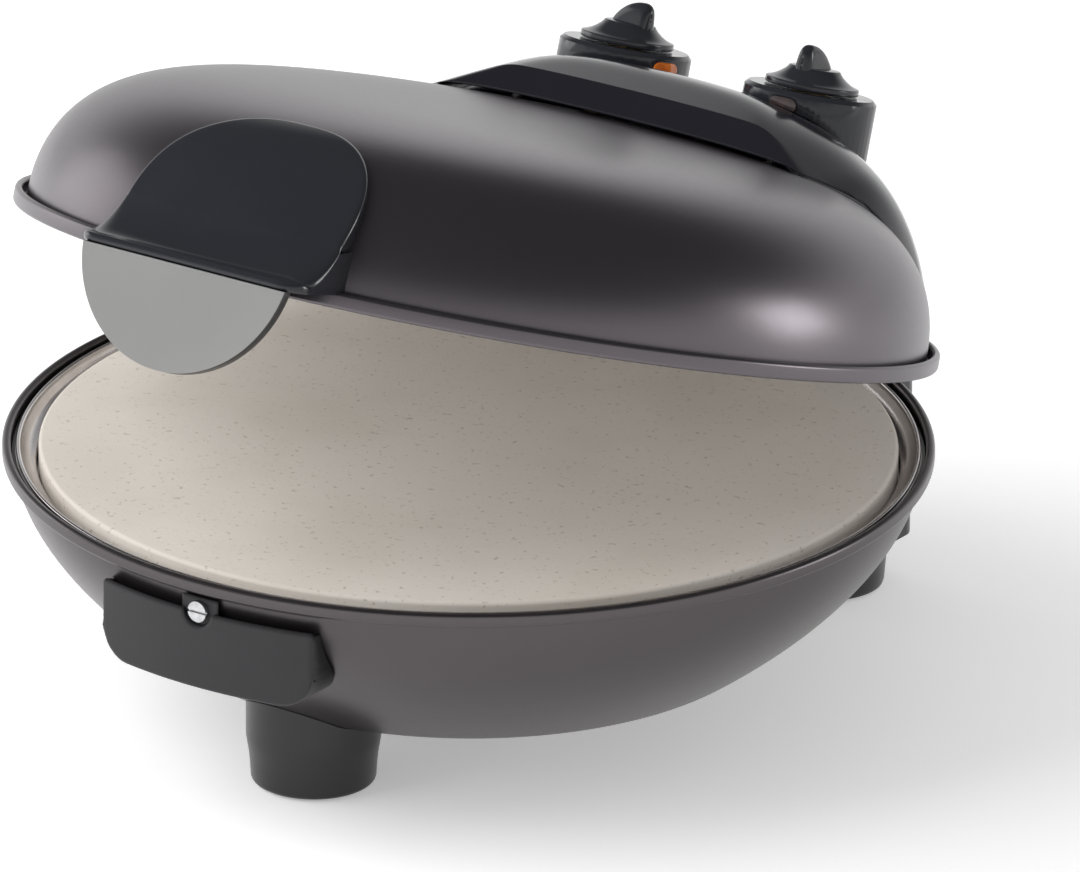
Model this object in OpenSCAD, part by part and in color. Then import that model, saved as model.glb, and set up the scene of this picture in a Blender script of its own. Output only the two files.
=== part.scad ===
// Electric pizza maker: a round base with a baking stone under a hinged, domed lid.
// Millimetres, +Z up. The grip faces -Y and the hinge is at +Y.
// The origin is on the floor under the middle of the stone.

/* [Lid position] */
// Angle that the lid stands open
lid_open = 17.87; // [0:0.01:30]

/* [Baking stone] */
// Radius of the stone
stone_r = 160; // [154:1:166]
// Thickness of the stone
stone_t = 12; // [10:0.5:14]
// Radius of the stone's rounded top edge
stone_edge = 1.5; // [0.5:0.25:3]
// Height of the stone's face over the pan's rim
stone_up = 0.6; // [0:0.1:1.5]
// Free room round the stone
stone_gap = 0.8; // [0.5:0.1:1.2]

/* [Pan] */
// Sheet thickness of the pan
pan_t = 0.8; // [0.6:0.1:1]
// Width from the stone's room to the pan's outer edge
channel_w = 7.7; // [7:0.1:10]
// Depth of the channel round the stone
channel_d = 6; // [4:0.5:7]
// Width of the ledge that carries the stone
ledge_w = 12; // [8:0.5:16]
// Depth of the pan's floor under its rim
pan_depth = 50; // [44:1:54]
// How far the pan's side comes in from the stone's edge to its flat floor
pan_in = 48; // [44:1:52]
// Radius of the rolled edge
roll_r = 0.9; // [0.7:0.1:1]

/* [Bowl] */
// Sheet thickness of the bowl
bowl_t = 1.2; // [0.8:0.1:1.6]
// Depth of the bowl under the pan's rim
bowl_depth = 74; // [70:1:80]
// Height of the bowl's bottom over the floor
bowl_lift = 28.4; // [24:0.2:34]
// How far the bowl's side comes in towards its bottom
bowl_turn = 54.8; // [48:0.2:58]
// Height of the rounding at the bowl's bottom
bowl_edge = 2.65; // [1.5:0.05:4]
// Open groove between the pan's edge and the rim bead
rim_gap = 1.7; // [1.2:0.1:2.5]
// Width of the rim bead
bead_w = 3.4; // [2.8:0.1:4]
// Height of the rim bead
bead_h = 5.5; // [4.8:0.1:6.5]
// Height of the rim bead's top over the pan's rim
bead_up = 1.45; // [1.2:0.05:1.8]

/* [Feet] */
// Radius of a foot at its bottom edge
foot_r = 23.3; // [20:0.1:24]
// Radius of a foot where it meets the body
foot_top_r = 25.1; // [24.2:0.1:27]
// Distance of the front foot's middle inside the bowl's rim
front_foot_in = 71; // [66.2:0.2:82.2]
// Distance of a rear foot from the middle line
foot_x = 46.2; // [42:0.2:50]
// Distance of the rear feet's middle behind the bowl's rim
rear_foot_out = 0.7; // [-2:0.1:1.8]
// Radius of a foot pad
pad_r = 17; // [12:0.5:19]
// Thickness of a foot pad
pad_t = 2.5; // [2:0.1:4]
// How far a pad stands out of its foot
pad_out = 0.8; // [0.4:0.1:1.2]

/* [Front plate] */
// Width of the curved plate
plate_w = 94; // [80:1:110]
// Height of the plate
plate_h = 30; // [26:1:34]
// Distance of the plate's top under the pan's rim
plate_drop = 11; // [9:0.5:13]
// How far the plate's face stands out past the bowl's rim
plate_out = 3.4; // [2.8:0.1:5]
// Thickness of the plate
plate_t = 2.6; // [2:0.1:2.8]
// Radius of the plate's lower corners
plate_corner = 13; // [8:0.5:15]
// Radius of the notch in the plate's top edge
notch_r = 6; // [5:0.25:8]
// Width of the screw tab behind the notch
tab_w = 16; // [13:0.5:20]

/* [Hinge] */
// Distance of the hinge axis behind the rim bead
hinge_out = 18.9; // [17.9:0.5:22.4]
// Height of the hinge axis over the pan's rim
hinge_up = 19.6; // [18:0.2:22]
// Radius of the hinge lugs and ears
lug_r = 5.5; // [5:0.1:6]
// Width of one hinge lug
lug_w = 15.5; // [10:0.5:18]
// Width of one hinge ear
ear_w = 19; // [12:0.5:22]
// Radius of a hinge pin
pin_r = 2.5; // [2:0.1:3]
// Radial play of a lug on its pin
pin_play = 0.05; // [0.03:0.01:0.1]
// Side play between lug and ear
side_play = 0.5; // [0.3:0.1:1]
// Wall thickness of the hinge tower
tower_wall = 6; // [4:0.5:8]

/* [Lid] */
// Height of the dome over the lid's rim line
dome_h = 60.5; // [57:0.5:64]
// Sheet thickness of the dome
dome_t = 1.2; // [0.8:0.1:1.6]
// How far the dome's side stands inside the bowl's rim
dome_in = 0.6; // [0.2:0.1:1.2]
// Open groove between dome and turned-up edge
curl_gap = 1.9; // [1.5:0.1:2.5]
// Width of the turned-up edge
curl_w = 2.9; // [2.4:0.1:3.4]
// Height of the turned-up edge
curl_h = 6.3; // [5:0.1:7]
// Depth of the lid's rim under its rim line
rim_drop = 2.5; // [2:0.1:3]
// Gap between lid and base when the lid is shut
shut_gap = 0.25; // [0.2:0.05:0.6]
// Distance of the reflector's ceiling under the dome's top
refl_drop = 12.5; // [10.5:0.5:16.5]
// How far the reflector's side comes in from the stone's edge to its ceiling
refl_in = 30; // [26:1:40]

/* [Heating elements] */
// Radius of the heating tube
tube_r = 3.2; // [2.8:0.1:3.6]
// Distance of the tube's ring inside the edge of the pan's floor
ring_in = 10; // [8:0.5:22]
// Half angle of the ring's open part
ring_open = 14; // [11:1:18]
// Height of the lower tube over the pan's floor
lower_rise = 20; // [14:1:26]
// Distance of the upper tube under the reflector
upper_drop = 14; // [10:1:18]
// Radius of a ceramic bush
bush_r = 7; // [6:0.5:8]

/* [Grip] */
// Half width of the grip's lip
lip_half = 49; // [46:0.5:54]
// Distance of the lip's front edge in front of the dome's side
lip_out = 26.4; // [24.4:0.2:28.4]
// How far the grip's body stands out of the dome's side
grip_out = 11.8; // [10.8:0.1:12.6]
// How far the grip's flare reaches in over the dome
flare_in = 79.6; // [76:0.2:84]
// Half width of the grip's arch
arch_half = 48; // [44:0.5:52]
// Distance of the arch's top under the dome's top
arch_drop = 4.5; // [3.5:0.5:6.5]
// Height of the arch's widest line over the lid's rim line
arch_z = 20; // [18:0.5:22]
// Wall thickness of the grip
grip_wall = 3; // [2:0.25:4]
// Radius of the guard disc
disc_r = 45; // [40:0.5:48]
// Height of the guard disc's middle over the lid's rim line
disc_z = 8.7; // [6:0.1:10]
// Lean of the guard disc
disc_lean = 7.45; // [5:0.05:9]
// Thickness of the guard disc
disc_t = 4; // [3:0.25:5]
// Thickness of the silver face
face_t = 0.6; // [0.4:0.1:1]
// Height of the lip's underside over the lid's rim line
lip_z = 2.6; // [2.4:0.1:3.4]

/* [Control housing] */
// Distance of the housing's middle behind the lid's middle
house_y = 40; // [38:0.5:41]
// How much less the housing's radius is than the dome's
house_in = 21.1; // [19.6:0.5:22.6]
// Height of the housing's top over the dome's top
house_up = 19.3; // [17.7:0.2:20.5]
// Distance of the housing's front lip behind its middle
house_lip = 37; // [34:0.5:42]
// Wall thickness of the housing
house_wall = 2.5; // [2:0.25:3.5]
// Height of the housing's lower edge at the back
house_low = 15; // [12:0.5:18]
// Gap between housing and dome
house_gap = 0.25; // [0.2:0.05:0.4]

/* [Controls] */
// Distance of a control from the middle line
pod_x = 42.1; // [38:0.1:46]
// Distance of the controls in front of the dome's rear side
pod_in_y = 28.6; // [26.6:0.5:31.6]
// Outer radius of a pod
pod_r = 25.4; // [24:0.1:26.5]
// Height of a pod's face over the housing's top
pod_up = 2.4; // [0.2:0.2:5.2]
// Wall thickness of a pod
pod_wall = 2.5; // [2:0.25:3]
// Radius of a knob's skirt
knob_r = 17.9; // [15:0.1:20]
// Height of a knob
knob_h = 16.6; // [14:0.2:20]
// Thickness of a knob's skirt
skirt_t = 2.6; // [2:0.1:4]
// Thickness of a knob's fin at its root
fin_t = 10.5; // [9:0.5:12]
// Distance of the fin's upright end from the knob's middle
fin_front = 10.5; // [9:0.5:13]
// Distance of the fin's sloping end from the knob's middle
fin_back = 9; // [8:0.5:12]
// Gap under a knob
knob_gap = 0.5; // [0.3:0.1:1]
// Turn of the left knob
left_turn = -12; // [-60:1:60]
// Turn of the right knob
right_turn = -89; // [-120:1:90]
// Radius of a control's spindle
spindle_r = 3; // [2.5:0.1:3.5]
// Radius of a control's threaded neck
neck_r = 5; // [4.5:0.1:5.5]
// Radius of a thermostat's case
stat_r = 14; // [10:0.5:15]
// Height of a thermostat's case
stat_h = 13; // [9:0.5:14]
// Width of a lamp lens
lens_w = 11; // [9:0.5:13]
// Height of a lamp lens
lens_h = 5.6; // [4.5:0.1:6]
// How far a lens stands out of its pod
lens_out = 1; // [0.5:0.1:2]

/* [Screws and cord entry] */
// Radius of a screw's head
head_r = 4; // [3:0.1:4.5]
// Height of a screw's head
head_h = 2; // [1.5:0.1:2.5]
// Radius of a screw's shank
shank_r = 1.8; // [1.4:0.1:2]
// Free room round a shank in sheet metal
shank_play = 0.3; // [0.2:0.05:0.5]
// Room under the middle of a screw's head on a curved sheet
head_play = 0.5; // [0.4:0.05:0.7]
// Clearance between seated pieces
seat = 0.2; // [0.1:0.05:0.25]
// Radius of the bore for the cord
cord_r = 3.5; // [2.5:0.1:4.5]
// Height of the cord entry over the floor
cord_z = 58; // [54:1:64]
// Distance of the cord entry from the middle line
cord_x = 24; // [16:1:28]

/* [Hidden] */
fine = 96;
rim_z = bowl_lift + bowl_depth;
ledge_z = stone_t - stone_up;
room_r = stone_r + stone_gap;
pan_r = room_r + channel_w;
bowl_r = pan_r + rim_gap;
bead_r = bowl_r + bead_w;
bowl_steps = 16;
bowl_power = 1.83;
bowl_side = bowl_depth - bowl_edge;
bowl_floor_r = bowl_r - bowl_turn - 10;
seat_z = 3.2;
plate_r = bowl_r + plate_out;
pan_floor_r = stone_r - pan_in;
ring_r = pan_floor_r - ring_in;
front_foot_y = bowl_r - front_foot_in;
rear_foot_y = bowl_r + rear_foot_out;
hinge_y = bead_r + hinge_out;
tower_half = foot_x + foot_top_r;
hinge_z = rim_z + hinge_up;
ear_x = tower_half - ear_w;
lug_x = ear_x - side_play - lug_w;
wall_y = bead_r + 4.6;
saddle_z = hinge_z - lug_r - 1.5;
tower_top = rim_z + bead_up - bead_h - seat;
dome_r = bowl_r - dome_in;
refl_h = dome_h - refl_drop;
refl_top_r = stone_r - refl_in;
lip_y = dome_r + lip_out;
grip_r = dome_r + grip_out;
flare_r = dome_r - flare_in;
flare_z = 12;
flare_h = dome_h - flare_z - 1.1;
arch_h = dome_h - arch_drop;
house_r = dome_r - house_in;
house_h = dome_h + house_up;
house_front = house_y + house_lip;
pod_y = dome_r - pod_in_y;
pod_top = house_h + pod_up;
dome_power = 2.26;
dome_round = 5;
curl_r = dome_r + curl_gap + curl_w;
lid_z = rim_z + bead_up + shut_gap + rim_drop;
axis_z = hinge_z - lid_z;
disc_low_y = -lip_y + 0.6 - disc_r * sin(disc_lean);
disc_low_z = disc_z - disc_r * cos(disc_lean);
open_y = hinge_y + (disc_low_y - hinge_y) * cos(lid_open) + (disc_low_z - axis_z) * sin(lid_open);
rear_y = max(-open_y, hinge_y + lug_r);
upper_z = refl_h - pan_t - upper_drop;
lower_z = -pan_depth + lower_rise;
bush_head = 3;
leg_r = tube_r + 0.6;
leg_x = ring_r * sin(ring_open);
leg_y = ring_r * cos(ring_open);
clip_t = 1.5;
clip_w = 10;
pod_floor = pod_top - pod_wall;
pod_in = pod_r - pod_wall;
knob_z = pod_top + knob_gap;
lens_left = -18.5;
lens_right = -81;
lens_z = pod_floor - lens_h / 2;
foot_screw_x = 12;
house_screw_x = 58;
house_screw_y = pod_y - 45;
rear_screw_x = 52;
rear_screw_d = 26;
grip_screw_x = 22;
grip_screw_z = 24;
grip_bite = 4.5;
guard_x = 20;
guard_y = lip_y - 12;
lip_corner = 9;

// Radius of the bowl's outside at a depth under the pan's rim, and its lean there
function bowl_at(d) = bowl_r - bowl_turn * pow(d / bowl_side, bowl_power);
function bowl_lean(d) = atan(bowl_turn * bowl_power / bowl_side * pow(d / bowl_side, bowl_power - 1));
// Point at a distance inside the bowl's outside
function bowl_point(d, t) = [bowl_at(d) - t * cos(bowl_lean(d)), -d + t * sin(bowl_lean(d))];
// Radius of a dome of radius r and height h at height z, and its lean there
function dome_at(r, h, z) = r * pow(1 - pow(z / h, dome_power), 1 / dome_round);
function dome_lean(z) = atan(dome_at(dome_r, dome_h, z - 0.5) - dome_at(dome_r, dome_h, z + 0.5));
// Point of the dome's section for an angle from 0 at the rim to 90 at the crown
function dome_point(r, h, a) = [r * pow(cos(a), 2 / dome_round), h * pow(sin(a), 2 / dome_power)];
// Point of the control housing's section, and of the grip's flared section
function house_point(r, h, a) = [r * pow(cos(a), 2 / 5.07), h * pow(sin(a), 2 / 1.49)];
function grip_z(r) = flare_z + flare_h * pow(max(0, 1 - pow((r - flare_r) / (grip_r + 0.1 - flare_r), 3.29)), 1.05);
// Height of the grip's arch over its half width
function arch_point(w, h, a) = [w * pow(cos(a), 2 / 2.6), arch_z + (h - arch_z) * pow(sin(a), 2 / 2.6)];

// Rounded bar in section, w wide and h high, round at top and bottom
module stadium(w, h) {
    square([w, h - w], center = true);
    for (s = [-1, 1])
        translate([0, s * (h - w) / 2])
            circle(d = w);
}

// Screw whose head rests on z = 0 and whose shank points down
module screw(length) {
    difference() {
        cylinder(r = head_r, h = head_h, $fn = fine);
        translate([-head_r, -0.5, head_h - 0.8])
            cube([2 * head_r, 1, 2]);
    }
    translate([0, 0, -length])
        cylinder(r = shank_r, h = length + 0.1, $fn = fine);
}

// Places children on the inner face of the bowl's side, pointing inwards
module on_bowl(x, d) {
    p = bowl_point(d, bowl_t);
    turn = asin(x / p[0]);
    rotate([0, 0, -turn])
        translate([0, p[0], rim_z + p[1]])
            rotate([90 - bowl_lean(d), 0, 0])
                children();
}

// Places children on the inner face of the dome's side at the front, pointing inwards
module on_dome(x, z) {
    a = dome_lean(z);
    r = dome_at(dome_r, dome_h, z) - dome_t * cos(a);
    turn = asin(x / r);
    rotate([0, 0, turn])
        translate([0, -r, z - dome_t * sin(a)])
            rotate([-90 - a, 0, 0])
                children();
}

// Places the lid's pieces, which are drawn with the lid's rim line at z = 0
module lid_place() {
    translate([0, hinge_y, hinge_z])
        rotate([-lid_open, 0, 0])
            translate([0, -hinge_y, -axis_z])
                children();
}

// Solid of the bowl's outside, grown by a clearance
module bowl_solid(grow) {
    side = [for (i = [0:bowl_steps]) bowl_point(bowl_side * i / bowl_steps, -grow)];
    top = [[0, 40], [bowl_r + grow, 40]];
    bottom = [[bowl_floor_r, -bowl_depth - grow], [0, -bowl_depth - grow]];
    translate([0, 0, rim_z])
        rotate_extrude($fn = fine)
            polygon(concat(top, side, bottom));
}

// Solid of the dome's outside, grown by a clearance
module dome_solid(grow) {
    side = [for (i = [0:20]) dome_point(dome_r + grow, dome_h + grow, 90 * i / 20)];
    rotate_extrude($fn = fine)
        polygon(concat([[0, -20], [dome_r + grow, -20]], side));
}

// Solid of the control housing's outside, shrunk by a wall
module house_solid(shrink) {
    side = [for (i = [0:18]) house_point(house_r - shrink, house_h - shrink, 90 * i / 18)];
    translate([0, house_y, 0])
        rotate_extrude($fn = fine)
            polygon(concat([[0, 0]], side));
}

// Bore or boss in a control's axis; s is -1 for the left control and 1 for the right one
module at_pod(s) {
    translate([s * pod_x, pod_y, 0])
        children();
}

// Pressed bowl with its rolled rim bead
module base_shell() {
    outer = [for (i = [1:bowl_steps]) bowl_point(seat_z + (bowl_side - seat_z) * i / bowl_steps, 0)];
    inner = [for (i = [0:bowl_steps - 1])
        bowl_point(bowl_side - (bowl_side - seat_z) * i / bowl_steps, bowl_t)];
    color([0.42, 0.39, 0.4])
    difference() {
        translate([0, 0, rim_z]) {
            rotate_extrude($fn = fine)
                polygon(concat(
                    [[bowl_r - bowl_t, -seat_z], [bowl_r, -seat_z]],
                    outer,
                    [[bowl_floor_r, -bowl_depth], [0, -bowl_depth]],
                    [[0, -bowl_depth + bowl_t], [bowl_floor_r - 0.5, -bowl_depth + bowl_t]],
                    inner
                ));
            rotate_extrude($fn = fine)
                translate([bowl_r - bowl_t, bead_up - bead_h])
                    square([bowl_t + bead_w / 2, bead_h - bead_up - seat_z]);
            rotate_extrude($fn = fine)
                translate([bead_r - bead_w / 2, bead_up - bead_h / 2])
                    stadium(bead_w, bead_h, $fn = 32);
        }
        for (s = [-1, 1]) {
            on_bowl(s * rear_screw_x, rear_screw_d)
                translate([0, 0, -6])
                    cylinder(r = shank_r + shank_play, h = 12, $fn = fine);
            translate([s * foot_screw_x, -front_foot_y, bowl_lift - 5])
                cylinder(r = shank_r + shank_play, h = 10, $fn = fine);
        }
        translate([0, -bowl_r + 12, rim_z - plate_drop])
            rotate([90, 0, 0])
                cylinder(r = shank_r + shank_play, h = 20, $fn = fine);
        translate([0, bowl_floor_r - 5, cord_z])
            rotate([-90, 0, 0])
                cylinder(r = 9, h = 80, $fn = fine);
    }
}

// Bright pan with rolled edge, channel, ledge and floor
module base_liner() {
    color([0.75, 0.74, 0.75])
    difference() {
        translate([0, 0, rim_z]) {
            rotate_extrude($fn = fine)
                polygon([
                    [0, -pan_depth], [pan_floor_r, -pan_depth],
                    [stone_r - ledge_w, -ledge_z], [room_r, -ledge_z],
                    [room_r, -channel_d], [room_r + 3.7, -channel_d + 1],
                    [pan_r - roll_r - 0.6, -roll_r], [pan_r - 0.4, -roll_r],
                    [pan_r - 0.4, -seat_z + pan_t], [pan_r + 1.4, -seat_z + pan_t],
                    [pan_r + 1.4, -seat_z], [pan_r - 1.3, -seat_z],
                    [room_r + 4.1, -channel_d + 1 - pan_t],
                    [room_r + pan_t, -channel_d - pan_t], [room_r + pan_t, -ledge_z - pan_t],
                    [stone_r - ledge_w + 0.4, -ledge_z - pan_t],
                    [pan_floor_r + 0.4, -pan_depth - pan_t], [0, -pan_depth - pan_t]
                ]);
            rotate_extrude($fn = fine)
                translate([pan_r - roll_r, -roll_r])
                    circle(r = roll_r, $fn = 32);
        }
        for (s = [-1, 1])
            translate([s * leg_x, leg_y, rim_z - pan_depth - 5])
                cylinder(r = bush_r - 2, h = 10, $fn = fine);
    }
}

// Heating tube: an open ring with a sleeved leg at each end, upwards for side 1
module element(side, length) {
    rotate([0, 0, 90 + ring_open])
        rotate_extrude(angle = 360 - 2 * ring_open, $fn = fine)
            translate([ring_r, 0])
                circle(r = tube_r, $fn = 32);
    for (s = [-1, 1])
        translate([s * leg_x, leg_y, side > 0 ? -leg_r : -length])
            cylinder(r = leg_r, h = length + leg_r, $fn = fine);
}

// Three upright clips that hold the tube, standing on z = 0 with the tube at height h
module clips(h) {
    for (a = [0, 90, 180])
        rotate([0, 0, -a])
            translate([ring_r, 0, 0])
                difference() {
                    union() {
                        translate([-clip_w / 2, -clip_t / 2, 0])
                            cube([clip_w, clip_t, h + clip_w / 2]);
                        translate([-clip_w / 2, -clip_w / 2, 0])
                            cube([clip_w, clip_w, clip_t]);
                    }
                    translate([0, clip_t, h])
                        rotate([90, 0, 0])
                            cylinder(r = tube_r + 0.1, h = 2 * clip_t, $fn = fine);
                }
}

// Two ceramic bushes, heads up, with their heads resting on z = 0
module bushes(length) {
    for (s = [-1, 1])
        translate([s * leg_x, leg_y, 0])
            difference() {
                union() {
                    cylinder(r = bush_r, h = bush_head, $fn = fine);
                    translate([0, 0, -length])
                        cylinder(r = bush_r - 2, h = length + 0.1, $fn = fine);
                }
                translate([0, 0, -length - 1])
                    cylinder(r = leg_r, h = length + bush_head + 2, $fn = fine);
            }
}

// Lower heating tube
module lower_element() {
    color([0.3, 0.29, 0.3])
    translate([0, 0, rim_z + lower_z])
        element(-1, lower_rise + 14);
}

// Clips on the pan's floor
module lower_element_clips() {
    color([0.6, 0.6, 0.62])
    translate([0, 0, rim_z - pan_depth])
        clips(lower_rise);
}

// Bushes in the pan's floor
module lower_bushes() {
    color([0.9, 0.88, 0.82])
    translate([0, 0, rim_z - pan_depth])
        bushes(8);
}

// Round foot with a bevelled bottom edge and a recess for its pad
module foot(h) {
    difference() {
        rotate_extrude($fn = fine)
            polygon([
                [0, pad_out], [foot_r - 1.8, pad_out], [foot_r - 0.5, pad_out + 0.6],
                [foot_r, pad_out + 2], [foot_top_r - 1.1, pad_out + 11],
                [foot_top_r, pad_out + 18], [foot_top_r, h], [0, h]
            ]);
        cylinder(r = pad_r, h = pad_t, $fn = fine);
    }
}

// Front foot, cut to the bowl's underside
module front_foot() {
    color([0.1, 0.1, 0.1])
    difference() {
        translate([0, -front_foot_y, 0])
            foot(rim_z / 2);
        bowl_solid(seat);
        for (s = [-1, 1])
            translate([s * foot_screw_x, -front_foot_y, bowl_lift - 12])
                cylinder(r = shank_r, h = 30, $fn = fine);
    }
}

// Screws from inside the bowl into the front foot
module foot_screws() {
    color([0.7, 0.7, 0.72])
    for (s = [-1, 1])
        translate([s * foot_screw_x, -front_foot_y, bowl_lift + bowl_t])
            screw(bowl_t + 11);
}

// Rubber pads under the three feet
module foot_pads() {
    color([0.15, 0.15, 0.15])
    for (p = [[0, -front_foot_y], [foot_x, rear_foot_y], [-foot_x, rear_foot_y]])
        translate([p[0], p[1], 0])
            cylinder(r = pad_r, h = pad_t, $fn = fine);
}

// Plan of the hinge tower
module tower_plan() {
    for (s = [-1, 1]) {
        translate([s * foot_x, rear_foot_y])
            circle(r = foot_top_r);
        translate([s * (tower_half - 8), rear_y - 8])
            circle(r = 8);
    }
    translate([-foot_x, rear_foot_y - foot_top_r])
        square([2 * foot_x, foot_top_r]);
    translate([-tower_half, rear_foot_y])
        square([2 * tower_half, rear_y - 8 - rear_foot_y]);
    translate([-tower_half + 8, rear_foot_y])
        square([2 * tower_half - 16, rear_y - rear_foot_y]);
}

// Hinge tower with the two rear feet and the two ears
module hinge_tower() {
    low = pad_out + 18;
    color([0.12, 0.12, 0.12])
    difference() {
        union() {
            for (s = [-1, 1])
                translate([s * foot_x, rear_foot_y, 0])
                    foot(low + 1);
            translate([0, 0, low])
                linear_extrude(tower_top - low)
                    tower_plan($fn = fine);
            translate([-tower_half, wall_y, tower_top - 1])
                cube([2 * tower_half, rear_y - wall_y, saddle_z - tower_top + 1]);
            for (s = [-1, 1])
                translate([s > 0 ? ear_x : -tower_half, 0, 0]) {
                    translate([0, hinge_y - lug_r, saddle_z - 1])
                        cube([ear_w, rear_y - hinge_y + lug_r, hinge_z - saddle_z + 1]);
                    translate([0, hinge_y, hinge_z])
                        rotate([0, 90, 0])
                            cylinder(r = lug_r, h = ear_w, $fn = fine);
                }
        }
        bowl_solid(seat);
        translate([-foot_x + 8, 100, cord_z - 14])
            cube([2 * foot_x - 16, rear_y - tower_wall - 100, 38]);
        for (s = [-1, 1])
            on_bowl(s * rear_screw_x, rear_screw_d)
                translate([0, 0, -16 - bowl_t])
                    cylinder(r = shank_r, h = 20, $fn = fine);
        translate([-tower_half - 1, hinge_y, hinge_z])
            rotate([0, 90, 0])
                cylinder(r = pin_r, h = 2 * tower_half + 2, $fn = fine);
        translate([cord_x, rear_y - tower_wall - 1, cord_z])
            rotate([-90, 0, 0])
                cylinder(r = cord_r + 2.5, h = tower_wall + 2, $fn = fine);
        translate([cord_x, rear_y - 2, cord_z])
            rotate([-90, 0, 0])
                cylinder(r = cord_r + 5, h = 3, $fn = fine);
    }
}

// Screws from inside the bowl into the hinge tower
module tower_screws() {
    color([0.7, 0.7, 0.72])
    for (s = [-1, 1])
        on_bowl(s * rear_screw_x, rear_screw_d)
            translate([0, 0, head_play])
                screw(14 + bowl_t);
}

// Steel pins in the ears, reaching through the lugs
module hinge_pins() {
    color([0.75, 0.75, 0.78])
    for (s = [-1, 1])
        translate([s > 0 ? lug_x : -tower_half, hinge_y, hinge_z])
            rotate([0, 90, 0])
                cylinder(r = pin_r, h = tower_half - lug_x, $fn = fine);
}

// Bush where the cord enters
module cord_gland() {
    color([0.08, 0.08, 0.08])
    translate([cord_x, rear_y, cord_z])
        rotate([90, 0, 0])
            difference() {
                union() {
                    cylinder(r = cord_r + 5, h = 2, $fn = fine);
                    cylinder(r = cord_r + 2.5, h = tower_wall + 4, $fn = fine);
                }
                translate([0, 0, -1])
                    cylinder(r = cord_r, h = tower_wall + 8, $fn = fine);
            }
}

// Terminal block on the floor of the tower's hollow
module terminal_block() {
    color([0.85, 0.85, 0.8])
    translate([-28, rear_y - tower_wall - 14, cord_z - 14])
        difference() {
            cube([36, 14 - seat, 16]);
            for (i = [0:2])
                translate([6 + 12 * i, -1, 9])
                    rotate([-90, 0, 0])
                        cylinder(r = 2, h = 16, $fn = fine);
        }
}

// Front view of the guard plate, shrunk by a wall; its top runs on when open is set
module plate_view(shrink, open) {
    w = plate_w / 2 - shrink;
    low = -plate_h + shrink;
    c = plate_corner - shrink;
    translate([-w, low + c])
        square([2 * w, -low - c + open]);
    translate([-w + c, low])
        square([2 * w - 2 * c, c + 1]);
    for (s = [-1, 1])
        translate([s * (w - c), low + c])
            circle(r = c);
}

// Curved guard plate with side and bottom walls that reach back to the bowl
module front_plate() {
    top = rim_z - plate_drop;
    color([0.28, 0.28, 0.29])
    difference() {
        union() {
            difference() {
                intersection() {
                    translate([0, 0, top - plate_h - 1])
                        cylinder(r = plate_r, h = plate_h + 2, $fn = fine);
                    translate([0, -100, top])
                        rotate([90, 0, 0])
                            linear_extrude(100)
                                plate_view(0, 0, $fn = fine);
                }
                intersection() {
                    translate([0, 0, top - plate_h - 1])
                        cylinder(r = plate_r - plate_t, h = plate_h + 10, $fn = fine);
                    translate([0, -90, top])
                        rotate([90, 0, 0])
                            linear_extrude(110)
                                plate_view(plate_t, 5, $fn = fine);
                }
                translate([0, -plate_r + plate_t + 1, top])
                    rotate([90, 0, 0])
                        cylinder(r = notch_r, h = plate_t + 4, $fn = fine);
            }
            intersection() {
                translate([-tab_w / 2, -plate_r, top - 14])
                    cube([tab_w, 30, 20]);
                translate([0, 0, top - 20])
                    cylinder(r = bowl_r + 0.9, h = 40, $fn = fine);
            }
            translate([-tab_w / 2, -plate_r + 1, top - 14])
                cube([tab_w, 20, 5]);
        }
        bowl_solid(seat);
        translate([0, -bowl_r + 12, top])
            rotate([90, 0, 0])
                cylinder(r = shank_r + shank_play, h = 20, $fn = fine);
    }
}

// Screw in the plate's notch
module front_plate_screw() {
    color([0.7, 0.7, 0.72])
    translate([0, -bowl_r - 0.9, rim_z - plate_drop])
        rotate([90, 0, 0])
            screw(8);
}

// Round baking stone
module stone() {
    edge = [for (i = [0:6]) [
        stone_r - stone_edge + stone_edge * cos(15 * i),
        stone_up - stone_edge + stone_edge * sin(15 * i)
    ]];
    color([0.85, 0.82, 0.79])
    translate([0, 0, rim_z])
        rotate_extrude($fn = fine)
            polygon(concat(
                [[0, -ledge_z], [stone_r - 1, -ledge_z], [stone_r, -ledge_z + 1]],
                edge,
                [[0, stone_up]]
            ));
}

// Dome of the lid with its turned-up edge, in the lid's own place
module lid_shell() {
    outer = [for (i = [0:20]) dome_point(dome_r, dome_h, 90 * i / 20)];
    inner = [for (i = [0:20]) dome_point(dome_r - dome_t, dome_h - dome_t, 90 - 90 * i / 20)];
    color([0.45, 0.42, 0.43])
    lid_place()
        difference() {
            rotate_extrude($fn = fine)
                union() {
                    polygon(concat(outer, inner));
                    translate([dome_r - dome_t, -rim_drop])
                        square([dome_t, rim_drop + 0.5]);
                    translate([dome_r - 4, -rim_drop])
                        square([4 + curl_gap + curl_w / 2, 1.2]);
                    translate([curl_r - curl_w / 2, curl_h / 2 - rim_drop])
                        stadium(curl_w, curl_h, $fn = 32);
                }
            for (s = [-1, 1]) {
                translate([s * leg_x, leg_y, 0])
                    cylinder(r = bush_r, h = dome_h, $fn = fine);
                translate([s * house_screw_x, house_screw_y, 20])
                    cylinder(r = shank_r + shank_play, h = dome_h, $fn = fine);
                on_dome(s * grip_screw_x, grip_screw_z)
                    translate([0, 0, -6])
                        cylinder(r = shank_r + shank_play, h = 12, $fn = fine);
            }
        }
}

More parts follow.
